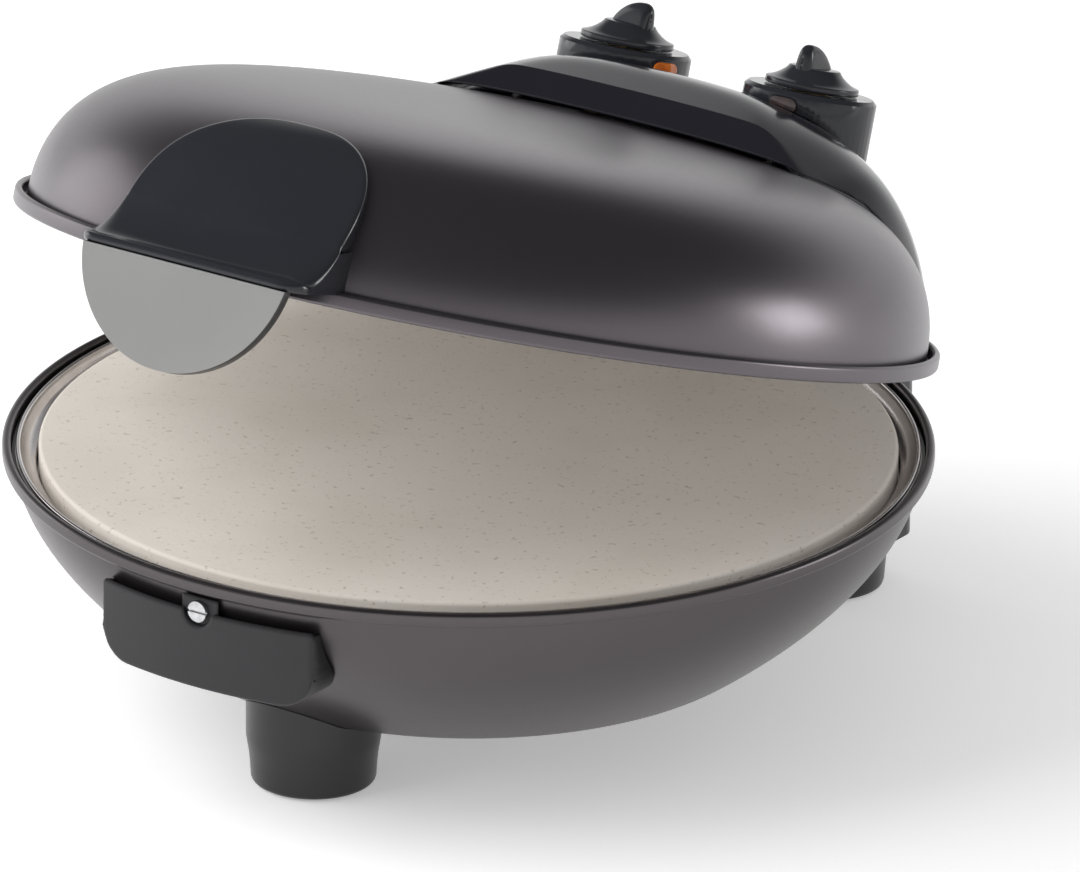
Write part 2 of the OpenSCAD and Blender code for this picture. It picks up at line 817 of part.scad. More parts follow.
// Bright reflector inside the dome
module lid_reflector() {
    rim = dome_r - dome_t - seat;
    low = 1.2 - rim_drop;
    color([0.75, 0.74, 0.75])
    lid_place()
        difference() {
            rotate_extrude($fn = fine)
                polygon([
                    [rim, low], [rim, low + pan_t], [stone_r, low + pan_t],
                    [refl_top_r, refl_h], [0, refl_h], [0, refl_h - pan_t],
                    [refl_top_r - 0.6, refl_h - pan_t], [stone_r - 1.2, low]
                ]);
            for (s = [-1, 1])
                translate([s * leg_x, leg_y, refl_h - 5])
                    cylinder(r = bush_r - 2, h = 10, $fn = fine);
        }
}

// Upper heating tube
module upper_element() {
    color([0.3, 0.29, 0.3])
    lid_place()
        translate([0, 0, upper_z])
            element(1, upper_drop + 18);
}

// Clips under the reflector's ceiling
module upper_element_clips() {
    color([0.6, 0.6, 0.62])
    lid_place()
        translate([0, 0, refl_h - pan_t])
            mirror([0, 0, 1])
                clips(upper_drop);
}

// Bushes on the reflector's ceiling
module upper_bushes() {
    color([0.9, 0.88, 0.82])
    lid_place()
        translate([0, 0, refl_h])
            bushes(4);
}

// Front view of the grip's arch, shrunk by a wall
module arch_view(shrink) {
    w = arch_half - shrink;
    h = arch_h - shrink;
    right = [for (i = [0:16]) arch_point(w, h, 90 * i / 16)];
    left = [for (i = [1:16]) let (p = arch_point(w, h, 90 - 90 * i / 16)) [-p[0], p[1]]];
    polygon(concat([[-w, lip_z - shrink], [w, lip_z - shrink]], right, left));
}

// Flared section of the grip's body, shrunk by a wall
module grip_flare(shrink) {
    rotate_extrude($fn = fine)
        polygon(concat(
            [[flare_r + 10, 0], [grip_r - shrink, 0]],
            [for (i = [0:16]) let (r = grip_r - (grip_r - flare_r - 10) * i / 16)
                [r - shrink, grip_z(r) - shrink]]
        ));
}

// Side view of the lip, shrunk by a wall: distance from the middle and height
module lip_view(s) {
    polygon([
        [-lip_y + s, lip_z - s], [-lip_y + 0.6 + s, lip_z + 2 - s / 3],
        [-lip_y + 6.4 + s / 2, lip_z + 6 - s * 0.9], [-lip_y + 13 + s / 2, lip_z + 9.4 - s],
        [-lip_y + 22, lip_z + 15 - s], [-lip_y + 30, lip_z + 18 - s],
        [-lip_y + 40, lip_z + 18 - s], [-lip_y + 40, lip_z - s]
    ]);
}

// Plan of the lip, shrunk by a wall: straight at the front with rounded ends
module lip_plan(s) {
    translate([-lip_half + lip_corner, -lip_y + s])
        square([2 * (lip_half - lip_corner), 40]);
    translate([-lip_half + s, -lip_y + lip_corner])
        square([2 * (lip_half - s), 40 - lip_corner]);
    for (side = [-1, 1])
        translate([side * (lip_half - lip_corner), -lip_y + lip_corner])
            circle(r = lip_corner - s);
}

// Body of the grip, shrunk by a wall: a flared arch with a lip along its front
module grip_body(s) {
    intersection() {
        grip_flare(s);
        translate([0, -dome_r / 3, 0])
            rotate([90, 0, 0])
                linear_extrude(dome_r)
                    arch_view(s);
    }
    intersection() {
        translate([-lip_half, 0, 0])
            rotate([90, 0, 90])
                linear_extrude(2 * lip_half)
                    lip_view(s);
        translate([0, 0, -5])
            linear_extrude(50)
                lip_plan(s, $fn = fine);
    }
}

// Glossy grip over the front of the dome
module lid_handle() {
    color([0.05, 0.05, 0.05])
    lid_place()
        difference() {
            grip_body(0);
            difference() {
                grip_body(grip_wall);
                for (s = [-1, 1]) {
                    on_dome(s * grip_screw_x, grip_screw_z)
                        translate([0, 0, -30])
                            cylinder(r = shank_r + 2.5, h = 40, $fn = fine);
                    translate([s * guard_x, -guard_y, 0])
                        cylinder(r = shank_r + 2.5, h = 40, $fn = fine);
                }
            }
            dome_solid(seat);
            difference() {
                translate([0, 0, -rim_drop - 1])
                    cylinder(r = curl_r + 0.4, h = curl_h + 1.4, $fn = fine);
                translate([0, 0, -rim_drop - 2])
                    cylinder(r = 50, h = curl_h + 4, $fn = fine);
            }
            for (s = [-1, 1]) {
                on_dome(s * grip_screw_x, grip_screw_z)
                    translate([0, 0, -grip_bite - 0.5 - dome_t])
                        cylinder(r = shank_r, h = 12, $fn = fine);
                translate([s * guard_x, -guard_y, lip_z - 1])
                    cylinder(r = shank_r, h = 6.5, $fn = fine);
            }
        }
}

// Outline of the guard disc's plane: z = 0 is the plane of its front, and -y is down
module guard_place() {
    translate([0, -lip_y + 0.6, disc_z])
        rotate([90 - disc_lean, 0, 0])
            children();
}

// Half space under the grip's lip
module under_lip() {
    translate([-60, -lip_y - 20, lip_z - 60])
        cube([120, 60, 60]);
}

// Black half disc that hangs under the lip, with its fixing foot
module guard_disc() {
    color([0.08, 0.08, 0.08])
    lid_place()
        difference() {
            union() {
                intersection() {
                    guard_place()
                        translate([0, 0, -face_t - disc_t])
                            cylinder(r = disc_r, h = disc_t, $fn = fine);
                    under_lip();
                }
                translate([-guard_x - 6, -lip_y + face_t + 2, lip_z - 2.5])
                    cube([2 * guard_x + 12, lip_y - guard_y + 4, 2.5]);
            }
            for (s = [-1, 1])
                translate([s * guard_x, -guard_y, lip_z - 4])
                    cylinder(r = shank_r + shank_play, h = 8, $fn = fine);
        }
}

// Silver face of the half disc
module guard_face() {
    color([0.7, 0.7, 0.7])
    lid_place()
        intersection() {
            guard_place()
                translate([0, 0, -face_t])
                    cylinder(r = disc_r, h = face_t, $fn = fine);
            under_lip();
        }
}

// Screws that hold the half disc under the lip
module guard_screws() {
    color([0.7, 0.7, 0.72])
    lid_place()
        for (s = [-1, 1])
            translate([s * guard_x, -guard_y, lip_z - 2.5])
                mirror([0, 0, 1])
                    screw(7);
}

// Screws from inside the dome into the grip
module handle_screws() {
    color([0.7, 0.7, 0.72])
    lid_place()
        for (s = [-1, 1])
            on_dome(s * grip_screw_x, grip_screw_z)
                translate([0, 0, head_play])
                    screw(grip_bite + dome_t);
}

// Side view of the room that the control housing fills, shrunk by a wall
module house_view(shrink) {
    polygon([
        [house_front + shrink, house_low - shrink],
        [house_front + shrink, house_h - 16.8 - shrink / 3],
        [house_front + 8 + shrink / 2, house_h - 7.4 - shrink],
        [house_front + 35, house_h + 1 - shrink],
        [hinge_y + 60, house_h + 1 - shrink], [hinge_y + 60, house_low - shrink]
    ]);
}

// Body of the control housing, shrunk by a wall
module house_body(shrink) {
    intersection() {
        house_solid(shrink);
        translate([-house_r - 5, 0, 0])
            rotate([90, 0, 90])
                linear_extrude(2 * house_r + 10)
                    house_view(shrink);
    }
}

// Moulded cover over the back of the lid, with the hinge lugs
module control_housing() {
    lug_z = axis_z;
    color([0.09, 0.09, 0.09])
    lid_place()
        difference() {
            union() {
                difference() {
                    house_body(0);
                    house_body(house_wall);
                }
                intersection() {
                    house_body(0);
                    for (s = [-1, 1])
                        translate([s * house_screw_x, house_screw_y, dome_h - 20])
                            cylinder(r = shank_r + 3.2, h = 50, $fn = fine);
                }
                for (s = [-1, 1])
                    translate([s > 0 ? lug_x : -lug_x - lug_w, 0, 0]) {
                        translate([0, hinge_y, lug_z])
                            rotate([0, 90, 0])
                                cylinder(r = lug_r, h = lug_w, $fn = fine);
                        translate([0, dome_r + 1, lug_z - lug_r])
                            cube([lug_w, hinge_y - dome_r - 1, 2 * lug_r]);
                    }
            }
            dome_solid(house_gap);
            for (s = [-1, 1]) {
                at_pod(s)
                    translate([0, 0, 30])
                        cylinder(r = pod_in, h = 60, $fn = fine);
                translate([s * house_screw_x, house_screw_y, dome_h - 20])
                    cylinder(r = shank_r, h = 30, $fn = fine);
            }
            translate([-lug_x - lug_w - 1, hinge_y, lug_z])
                rotate([0, 90, 0])
                    cylinder(r = pin_r + pin_play, h = 2 * (lug_x + lug_w + 1), $fn = fine);
        }
}

// Screws from inside the dome into the control housing
module housing_screws() {
    color([0.7, 0.7, 0.72])
    lid_place()
        for (s = [-1, 1]) {
            r = norm([house_screw_x, house_screw_y]) + head_r;
            top = (dome_h - dome_t) * pow(1 - pow(r / (dome_r - dome_t), dome_round), 1 / dome_power);
            translate([s * house_screw_x, house_screw_y, top - seat])
                mirror([0, 0, 1])
                    screw(14);
        }
}

// Solid of one lens: a stadium along the radius at an angle around the pod
module lens_bar(angle, from, to, grow) {
    rotate([0, 0, angle])
        translate([from, 0, lens_z])
            rotate([90, 90, 90])
                linear_extrude(to - from)
                    stadium(lens_h + 2 * grow, lens_w + 2 * grow, $fn = fine);
}

// Round bezel under a knob; s is -1 for the left one, angle is its lamp's place
module pod(s, angle) {
    lid_place()
        difference() {
            at_pod(s)
                difference() {
                    union() {
                        translate([0, 0, 30])
                            cylinder(r = pod_r, h = pod_top - 31.5, $fn = fine);
                        translate([0, 0, pod_top - 1.5])
                            cylinder(r1 = pod_r, r2 = pod_r - 1.5, h = 1.5, $fn = fine);
                    }
                    translate([0, 0, 29])
                        cylinder(r = pod_in, h = pod_floor - 29, $fn = fine);
                    cylinder(r = neck_r, h = 100, $fn = fine);
                    lens_bar(angle, pod_in - 2, pod_r + 2, 0.1);
                }
            house_solid(-seat);
        }
}

// Left bezel
module pod_left() {
    color([0.05, 0.05, 0.05])
        pod(-1, lens_left);
}

// Right bezel
module pod_right() {
    color([0.05, 0.05, 0.05])
        pod(1, lens_right);
}

// Thermostat under a bezel's face, with its threaded neck
module thermostat(s) {
    lid_place()
        at_pod(s)
            difference() {
                union() {
                    translate([0, 0, pod_floor - stat_h])
                        cylinder(r = stat_r, h = stat_h, $fn = fine);
                    translate([0, 0, pod_floor - 0.1])
                        cylinder(r = neck_r, h = pod_wall + 3.6, $fn = fine);
                }
                translate([0, 0, pod_floor - stat_h + 3])
                    cylinder(r = spindle_r + pin_play, h = 40, $fn = fine);
            }
}

// Left thermostat
module thermostat_left() {
    color([0.6, 0.6, 0.58])
        thermostat(-1);
}

// Right thermostat
module thermostat_right() {
    color([0.6, 0.6, 0.58])
        thermostat(1);
}

// Nuts on the thermostats' necks, inside the knobs
module thermostat_nuts() {
    color([0.75, 0.7, 0.5])
    lid_place()
        for (s = [-1, 1])
            at_pod(s)
                translate([0, 0, pod_top])
                    difference() {
                        cylinder(r = neck_r + 3, h = 3, $fn = 6);
                        translate([0, 0, -1])
                            cylinder(r = neck_r, h = 5, $fn = fine);
                    }
}

// One lamp lens with a domed face and a collar inside the bezel
module lamp_lens(s, angle) {
    lid_place()
    difference() {
        at_pod(s) {
            intersection() {
                lens_bar(angle, pod_in - 1, pod_r + lens_out, 0);
                rotate([0, 0, angle])
                    translate([pod_r + lens_out - 22, 0, lens_z])
                        sphere(r = 22, $fn = fine);
            }
            intersection() {
                lens_bar(angle, pod_in - 2, pod_in - 0.3, 1);
                cylinder(r = pod_in - 0.1, h = pod_floor - seat, $fn = fine);
            }
        }
        house_solid(-seat);
    }
}

// Orange lens on the left bezel
module lamp_lens_left() {
    color([0.88, 0.44, 0.19])
        lamp_lens(-1, lens_left);
}

// Dark lens on the right bezel
module lamp_lens_right() {
    color([0.2, 0.15, 0.15])
        lamp_lens(1, lens_right);
}

// Small lamps behind the lenses
module lamps() {
    color([0.9, 0.8, 0.7])
    lid_place()
        for (s = [-1, 1])
            at_pod(s)
                rotate([0, 0, s < 0 ? lens_left : lens_right])
                    translate([stat_r + seat, 0, lens_z])
                        rotate([0, 90, 0])
                            cylinder(r = 2.2, h = pod_in - 2 - seat - stat_r, $fn = fine);
}

// End view of a knob's fin: wide at its root and round on top
module fin_end() {
    top = fin_t / 3;
    polygon(concat(
        [[-fin_t / 2, 0], [fin_t / 2, 0]],
        [for (a = [8:16.4:172]) [top * cos(a), knob_h - top + top * sin(a)]]
    ));
}

// Side view of a knob's fin: upright at its front end and a long arc down to its back end
module fin_side() {
    corner = 4;
    top = fin_front - corner;
    polygon(concat(
        [[-fin_back, 0], [fin_front, 0]],
        [for (a = [0:18:90]) [top + corner * cos(a), knob_h - corner + corner * sin(a)]],
        [for (a = [80:-10:0]) [top - (top + fin_back) * cos(a), skirt_t + (knob_h - skirt_t) * sin(a)]]
    ));
}

// Knob: a round skirt with a fin for the fingers, hollow for the nut
module knob(s, turn) {
    lid_place()
        at_pod(s)
            translate([0, 0, knob_z])
                difference() {
                    union() {
                        cylinder(r = knob_r, h = skirt_t - 0.8, $fn = fine);
                        translate([0, 0, skirt_t - 0.8])
                            cylinder(r1 = knob_r, r2 = knob_r - 0.8, h = 0.8, $fn = fine);
                        translate([0, 0, skirt_t - 0.8])
                            cylinder(r1 = knob_r - 1.5, r2 = neck_r + 4.5, h = 5.6, $fn = fine);
                        rotate([0, 0, turn])
                            intersection() {
                                translate([-knob_r, 0, 0])
                                    rotate([90, 0, 90])
                                        linear_extrude(2 * knob_r)
                                            fin_end();
                                translate([0, knob_r, 0])
                                    rotate([90, 0, 0])
                                        linear_extrude(2 * knob_r)
                                            fin_side();
                            }
                    }
                    translate([0, 0, -1])
                        cylinder(r = neck_r + 3.8, h = 5.2, $fn = fine);
                    cylinder(r = spindle_r, h = knob_h - 5, $fn = fine);
                }
}

// Left knob
module knob_left() {
    color([0.05, 0.05, 0.05])
        knob(-1, left_turn);
}

// Right knob
module knob_right() {
    color([0.05, 0.05, 0.05])
        knob(1, right_turn);
}

// Spindle from the thermostat up into the knob
module spindle(s) {
    lid_place()
        at_pod(s)
            translate([0, 0, pod_floor - stat_h + 4])
                cylinder(r = spindle_r, h = knob_z + knob_h - 5 - pod_floor + stat_h - 4, $fn = fine);
}

// Left spindle
module spindle_left() {
    color([0.75, 0.75, 0.78])
        spindle(-1);
}

// Right spindle
module spindle_right() {
    color([0.75, 0.75, 0.78])
        spindle(1);
}

base_shell();
base_liner();
lower_element();
lower_element_clips();
lower_bushes();
front_foot();
foot_screws();
foot_pads();
hinge_tower();
tower_screws();
hinge_pins();
cord_gland();
terminal_block();
front_plate();
front_plate_screw();
stone();
lid_shell();
lid_reflector();
upper_element();
upper_element_clips();
upper_bushes();
lid_handle();
handle_screws();
guard_disc();
guard_face();
guard_screws();
control_housing();
housing_screws();
pod_left();
pod_right();
thermostat_left();
thermostat_right();
thermostat_nuts();
lamp_lens_left();
lamp_lens_right();
lamps();
knob_left();
knob_right();
spindle_left();
spindle_right();
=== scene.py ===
"""Electric pizza maker: a round base with a baking stone under a hinged, domed lid.

Sizes are in millimetres and become metres where a mesh is made. The lid's pieces are drawn with
the lid shut and its rim line at z = 0, and are then turned about the hinge.
"""

import math

import bmesh
import bpy
import numpy as np
from mathutils import Matrix


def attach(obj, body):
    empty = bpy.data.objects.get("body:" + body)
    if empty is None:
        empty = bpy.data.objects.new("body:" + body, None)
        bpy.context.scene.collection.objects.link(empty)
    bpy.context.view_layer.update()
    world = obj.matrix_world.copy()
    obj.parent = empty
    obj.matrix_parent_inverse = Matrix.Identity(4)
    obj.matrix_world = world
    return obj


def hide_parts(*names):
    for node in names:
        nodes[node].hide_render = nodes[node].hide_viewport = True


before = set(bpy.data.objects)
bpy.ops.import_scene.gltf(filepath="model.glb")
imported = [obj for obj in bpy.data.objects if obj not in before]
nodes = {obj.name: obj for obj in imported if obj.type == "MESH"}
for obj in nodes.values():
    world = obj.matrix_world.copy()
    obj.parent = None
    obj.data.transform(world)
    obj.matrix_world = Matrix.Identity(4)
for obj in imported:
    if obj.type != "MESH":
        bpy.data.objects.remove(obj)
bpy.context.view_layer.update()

# Camera: a long lens from the front right, a little above the lid.
# Its angles, distance and aim point were fitted to the rims and feet in the photograph.
azimuth, elevation, roll = np.radians([34.48, 21.749, 0.459])
aim = np.array([21.9, 15.0, 104.6]) / 1000
back = np.array([
    math.sin(azimuth) * math.cos(elevation),
    -math.cos(azimuth) * math.cos(elevation),
    math.sin(elevation),
])
level = np.array([math.cos(azimuth), math.sin(azimuth), 0])
upward = np.cross(back, level)
pose = np.eye(4)
pose[:3, 0] = level * math.cos(roll) + upward * math.sin(roll)
pose[:3, 1] = upward * math.cos(roll) - level * math.sin(roll)
pose[:3, 2] = back
pose[:3, 3] = aim + 6.0 * back
camera = bpy.data.objects.new("camera", bpy.data.cameras.new("camera"))
camera.data.lens = 537.5
camera.data.sensor_width = 36
camera.data.clip_end = 60
camera.matrix_world = Matrix(pose.tolist())
bpy.context.scene.collection.objects.link(camera)
bpy.context.scene.camera = camera
bpy.context.scene.view_settings.view_transform = "Standard"

# Studio: a plain pale floor, a broad soft lamp from the upper left and two small ones low at the sides.
# The world is a plain grey; in reflections it is dark above and white low down, as the floor is.


def surface(name, points, wrap=False):
    """Mesh object over a grid of points in millimetres, rows by columns.

    With wrap, the last column is joined to the first.
    """
    points = np.asarray(points, float)
    rows, columns = points.shape[:2]
    index = np.arange(rows * columns).reshape(rows, columns)
    if wrap:
        index = np.hstack([index, index[:, :1]])
    faces = np.stack([index[:-1, :-1], index[1:, :-1], index[1:, 1:], index[:-1, 1:]], -1).reshape(-1, 4)
    mesh = bpy.data.meshes.new(name)
    mesh.vertices.add(rows * columns)
    mesh.vertices.foreach_set("co", (points / 1000).reshape(-1))
    mesh.loops.add(faces.size)
    mesh.loops.foreach_set("vertex_index", faces.reshape(-1))
    mesh.polygons.add(len(faces))
    mesh.polygons.foreach_set("loop_start", np.arange(0, faces.size, 4))
    mesh.update(calc_edges=True)
    tidy = bmesh.new()
    tidy.from_mesh(mesh)
    bmesh.ops.remove_doubles(tidy, verts=tidy.verts, dist=2e-6)
    bmesh.ops.dissolve_degenerate(tidy, edges=tidy.edges, dist=1e-6)
    bmesh.ops.recalc_face_normals(tidy, faces=tidy.faces)
    tidy.to_mesh(mesh)
    tidy.free()
    mesh.shade_smooth()
    mesh.set_sharp_from_angle(angle=math.radians(38))
    piece = bpy.data.objects.new(name, mesh)
    bpy.context.scene.collection.objects.link(piece)
    return piece


class Value:
    """A shader value or colour: arithmetic on it adds Math nodes, so a formula reads as it is written."""

    def __init__(self, tree, socket):
        self.tree, self.socket = tree, socket

    def node(self, kind, settings, inputs, output=0):
        """Any node: its type, its settings, its sockets' values or links, and which output is used."""
        made = self.tree.nodes.new("ShaderNode" + kind)
        for key, value in settings.items():
            setattr(made, key, value)
        for key, value in inputs.items():
            if isinstance(value, Value):
                self.tree.links.new(value.socket, made.inputs[key])
            else:
                made.inputs[key].default_value = value
        return Value(self.tree, made.outputs[output])

    def axis(self, number):
        """One coordinate of a place, by number: 0, 1 or 2."""
        return self.node("SeparateXYZ", {}, {0: self}, number)

    def math(self, operation, first, second):
        return self.node("Math", {"operation": operation}, {0: first, 1: second})

    def __add__(self, other):
        return self.math("ADD", self, other)

    __radd__ = __add__

    def __mul__(self, other):
        return self.math("MULTIPLY", self, other)

    __rmul__ = __mul__

    def __sub__(self, other):
        return self.math("SUBTRACT", self, other)

    def __rsub__(self, other):
        return self.math("SUBTRACT", other, self)

    def __truediv__(self, other):
        return self.math("DIVIDE", self, other)

    def __pow__(self, other):
        return self.math("POWER", self, other)

    def step(self, low, high):
        """0 at low and 1 at high, with a smooth change between and none beyond."""
        ends = {"Value": self, "From Min": low, "From Max": high}
        return self.node("MapRange", {"interpolation_type": "SMOOTHSTEP"}, ends)

    def noise(self, scale, detail=2.0):
        """Soft random values about 0.5 over a place; scale is in patches per metre."""
        return self.node("TexNoise", {}, {"Vector": self, "Scale": scale, "Detail": detail})

    def blend(self, first, second):
        """The first colour where the value is 0 and the second where it is 1."""
        pair = [(*item, 1) if isinstance(item, tuple) else item for item in (first, second)]
        return self.node("Mix", {"data_type": "RGBA"}, {0: self, 6: pair[0], 7: pair[1]}, 2)

    def bump(self, strength, distance):
        return self.node("Bump", {}, {"Strength": strength, "Distance": distance, "Height": self})


def material(name, look, **fixed):
    """Principled material: fixed inputs by name, and the varying ones that look gives for a place."""
    made = bpy.data.materials.new(name)
    made.use_nodes = True
    tree = made.node_tree
    shader = tree.nodes["Principled BSDF"]
    for key, value in fixed.items():
        shader.inputs[key.replace("_", " ")].default_value = value
    place = Value(tree, tree.nodes.new("ShaderNodeTexCoord").outputs["Object"])
    for key, value in look(place).items():
        tree.links.new(value.socket, shader.inputs[key])
    return made


def floor_look(place):
    seen = place.node("LightPath", {}, {}, "Is Camera Ray")
    mirrored = place.node("LightPath", {}, {}, "Is Glossy Ray")
    through = place.node("LightPath", {}, {}, "Is Transmission Ray")
    glow = (seen + mirrored + through) * 0.33
    return {
        "Base Color": place.noise(3.0).blend((0.96, 0.96, 0.96), (0.99, 0.99, 0.99)),
        "Emission Color": glow.blend((0.0, 0.0, 0.0), (1.0, 1.0, 1.0)),
    }


floor_half = 14000
side = np.linspace(-floor_half, floor_half, 9)
floor = surface("floor", np.stack([*np.meshgrid(side, side, indexing="ij"), np.zeros((9, 9))], -1))
matt_floor = material("floor", floor_look, Roughness=0.9, Specular_IOR_Level=0.0, Emission_Strength=1.0)
floor.data.materials.append(matt_floor)

world = bpy.data.worlds.new("studio")
world.use_nodes = True
sky = Value(world.node_tree, world.node_tree.nodes.new("ShaderNodeTexCoord").outputs["Generated"])
mirrored = sky.node("LightPath", {}, {}, "Is Glossy Ray")
world.node_tree.nodes["Background"].inputs["Color"].default_value = (1.0, 1.0, 1.0, 1)
brightness = mirrored * (sky.axis(2).step(0.55, 0.10) * 0.95 - 0.41) + 0.46
world.node_tree.links.new(brightness.socket, world.node_tree.nodes["Background"].inputs["Strength"])
bpy.context.scene.world = world


def softbox(name, turn, height, distance, size, radiance):
    """Square area lamp, sizes in metres. Turn is 0 behind the object and 90 on its right, in degrees.

    A radiance of 1 looks white.
    """
    light = bpy.data.objects.new(name, bpy.data.lights.new(name, "AREA"))
    light.data.shape = "SQUARE"
    light.data.size = size
    light.data.energy = radiance * math.pi * size ** 2
    turn, height = math.radians(turn), math.radians(height)
    behind = np.cross([0, 0, 1.0], level)
    away = (behind * math.cos(turn) + level * math.sin(turn)) * math.cos(height)
    away = away + np.array([0, 0, math.sin(height)])
    across = np.cross([0.0, 0.0, 1.0], away)
    across = across / np.linalg.norm(across)
    frame_of_lamp = np.eye(4)
    frame_of_lamp[:3, :3] = np.column_stack([across, np.cross(away, across), away])
    frame_of_lamp[:3, 3] = away * distance
    light.matrix_world = Matrix(frame_of_lamp.tolist())
    bpy.context.scene.collection.objects.link(light)
    return light


softbox("key", -102, 40, 2.6, 2.3, 3.1).visible_glossy = False
softbox("right", 90, 12, 2.6, 0.8, 6.0)
softbox("left", -58, 14, 2.6, 1.3, 1.4)

# Bowl of the base: one steel pressing with a rolled rim bead, sprayed in satin bronze-grey lacquer.
# It stands on the three feet, and its side curves in to a flat bottom. Its lacquer is painted darker than the
# lid's, as painted shade.


def revolve(outline, turns=240):
    """Surface of revolution about the upright axis of an outline of (radius, height) points."""
    outline = np.asarray(outline, float)
    angle = np.linspace(0, 2 * np.pi, turns, endpoint=False)
    ring = np.stack([np.cos(angle), np.sin(angle)], -1)
    heights = np.broadcast_to(outline[:, None, 1:], (len(outline), turns, 1))
    return np.concatenate([outline[:, None, :1] * ring[None], heights], -1)


def arc(x, y, radius, start, end, steps=10):
    """Points on a circle from one angle to another, in degrees."""
    angle = np.radians(np.linspace(start, end, steps))
    return np.stack([x + radius * np.cos(angle), y + radius * np.sin(angle)], -1)


def inset(line, depth):
    """A line of points moved sideways, to the left of its direction for a positive depth."""
    step = np.gradient(line, axis=0)
    step = step / np.linalg.norm(step, axis=1, keepdims=True)
    return line + depth * np.stack([-step[:, 1], step[:, 0]], -1)


def lacquer(place):
    flake, peel, cloud = place.noise(2600, 1.0), place.noise(330), place.noise(7)
    # Below the rim the same lacquer is painted darker: painted shade on the bowl. The lid keeps the lacquer's
    # own tone.
    painted_shade_on_bowl = cloud.blend((0.088, 0.079, 0.082), (0.101, 0.091, 0.094))
    on_lid = cloud.blend((0.134, 0.121, 0.132), (0.152, 0.138, 0.150))
    return {
        "Base Color": place.axis(2).step(0.098, 0.112).blend(painted_shade_on_bowl, on_lid),
        "Roughness": flake * 0.06 + peel * 0.03 + 0.27,
        "Normal": (peel + flake * 0.35).bump(0.05, 0.0004),
    }


def bowl_radius(depth):
    """Outer radius of the bowl at a depth under its rim."""
    return 170.2 - 54.8 * (depth / side_depth) ** 1.83


rim_z = 102.4
side_depth = 71.35
lacquered = material("satin lacquer", lacquer, Metallic=0.85)
depth = np.linspace(4.9, side_depth, 60)
bowl_side = np.stack([bowl_radius(depth), -depth], -1)
turn_in = np.linspace(0, 1, 9)[1:, None]
bend_mid, bend_end = np.array([111.7, -74]), np.array([104.5, -74])
bowl_foot = ((1 - turn_in) ** 2 * bowl_side[-1] + 2 * turn_in * (1 - turn_in) * bend_mid
             + turn_in ** 2 * bend_end)
bowl_out = np.vstack([bowl_side, bowl_foot])
bowl = surface("base_bowl", revolve(np.vstack([
    [[0, -72.8], [60, -72.8]],
    inset(bowl_out, -1.2)[::-1],
    [[169.0, -3.2], [169.9, -3.2], [170.2, -2.9]],
    arc(171.9, -0.25, 1.7, 180, 0, 16),
    arc(171.9, -2.35, 1.7, 0, -125, 14),
    [[170.5, -3.95], [170.2, -4.35]],
    bowl_out,
    [[60, -74], [0, -74]],
])) + [0, 0, rim_z], wrap=True)
bowl.data.materials.append(lacquered)
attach(bowl, "base")
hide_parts("base_shell")

# Pan in the bowl: thin bright steel, spun, with a rolled edge, a shallow channel and a ledge for the stone.
# Its flange lies on the top of the bowl's wall, inside the rim bead.


def bright(place):
    x, y, z = place.axis(0), place.axis(1), place.axis(2)
    out = (x * x + y * y) ** 0.5
    rings = place.node("CombineXYZ", {}, {0: out * 2600.0, 1: x.math("ARCTAN2", y, x) * 3.0, 2: z * 2600.0})
    lines, heat = rings.noise(1.0, 3.0), place.noise(24, 3.0)
    metal = heat.step(0.35, 0.75).blend((0.80, 0.785, 0.79), (0.60, 0.555, 0.545))
    return {
        # Past a radius of 168.6 mm the flange is painted near-black: painted shade in the groove under the
        # rim bead.
        "Base Color": out.step(0.1684, 0.1688).blend(metal, (0.03, 0.03, 0.03)),
        "Roughness": lines * 0.10 + heat * 0.08 + 0.08,
        "Normal": lines.bump(0.06, 0.0002),
    }


pan = surface("base_pan", revolve(np.vstack([
    [[0, -50], [60, -50], [108, -50]],
    arc(108, -44, 6, -90, -47, 8),
    arc(150.6, -13.4, 2, 133, 90, 6),
    [[160.4, -11.4], [160.8, -11.0], [160.8, -6.6], [161.2, -6.05]],
    [[162.6, -5.75], [164.2, -5.2], [165.4, -3.9], [166.3, -2.2]],
    arc(167.6, -0.9, 0.9, 200, -30, 14),
    [[168.2, -2.4], [169.8, -2.4], [169.8, -3.2], [167.2, -3.2], [164.9, -5.8], [161.6, -6.8]],
    [[161.6, -12.2], [148.4, -12.2], [112.4, -50.8], [0, -50.8]],
])) + [0, 0, rim_z], wrap=True)
pan.data.materials.append(material("bright steel", bright, Metallic=1.0))
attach(pan, "base")
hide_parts("base_liner")

# Lower heating element: a steel tube bent to a ring and darkened by heat, on three bent zinc clips.
# White ceramic bushes carry its two ends through the back of the pan.


def dress(finish, *names):
    """Gives carried-over nodes their material."""
    for name in names:
        for place in nodes[name].material_slots:
            place.link = "OBJECT"
            place.material = finish


def burnt(place):
    scale, heat = place.noise(700, 3.0), place.noise(30, 3.0)
    return {
        "Base Color": heat.step(0.35, 0.7).blend((0.10, 0.085, 0.08), (0.17, 0.13, 0.105)),
        "Roughness": scale * 0.2 + 0.38,
        "Normal": scale.bump(0.15, 0.0002),
    }


def zinc_look(place):
    spangle, fine = place.noise(500, 1.0), place.noise(3000)
    return {
        "Base Color": spangle.step(0.3, 0.7).blend((0.50, 0.50, 0.52), (0.63, 0.63, 0.64)),
        "Roughness": spangle * 0.15 + fine * 0.08 + 0.22,
        "Normal": fine.bump(0.05, 0.0001),
    }


def porcelain_look(place):
    speck, glaze = place.noise(900), place.noise(60)
    return {
        "Base Color": speck.step(0.6, 0.75).blend((0.78, 0.77, 0.73), (0.66, 0.63, 0.57)),
        "Roughness": glaze * 0.2 + 0.22,
        "Normal": glaze.bump(0.05, 0.0003),
    }


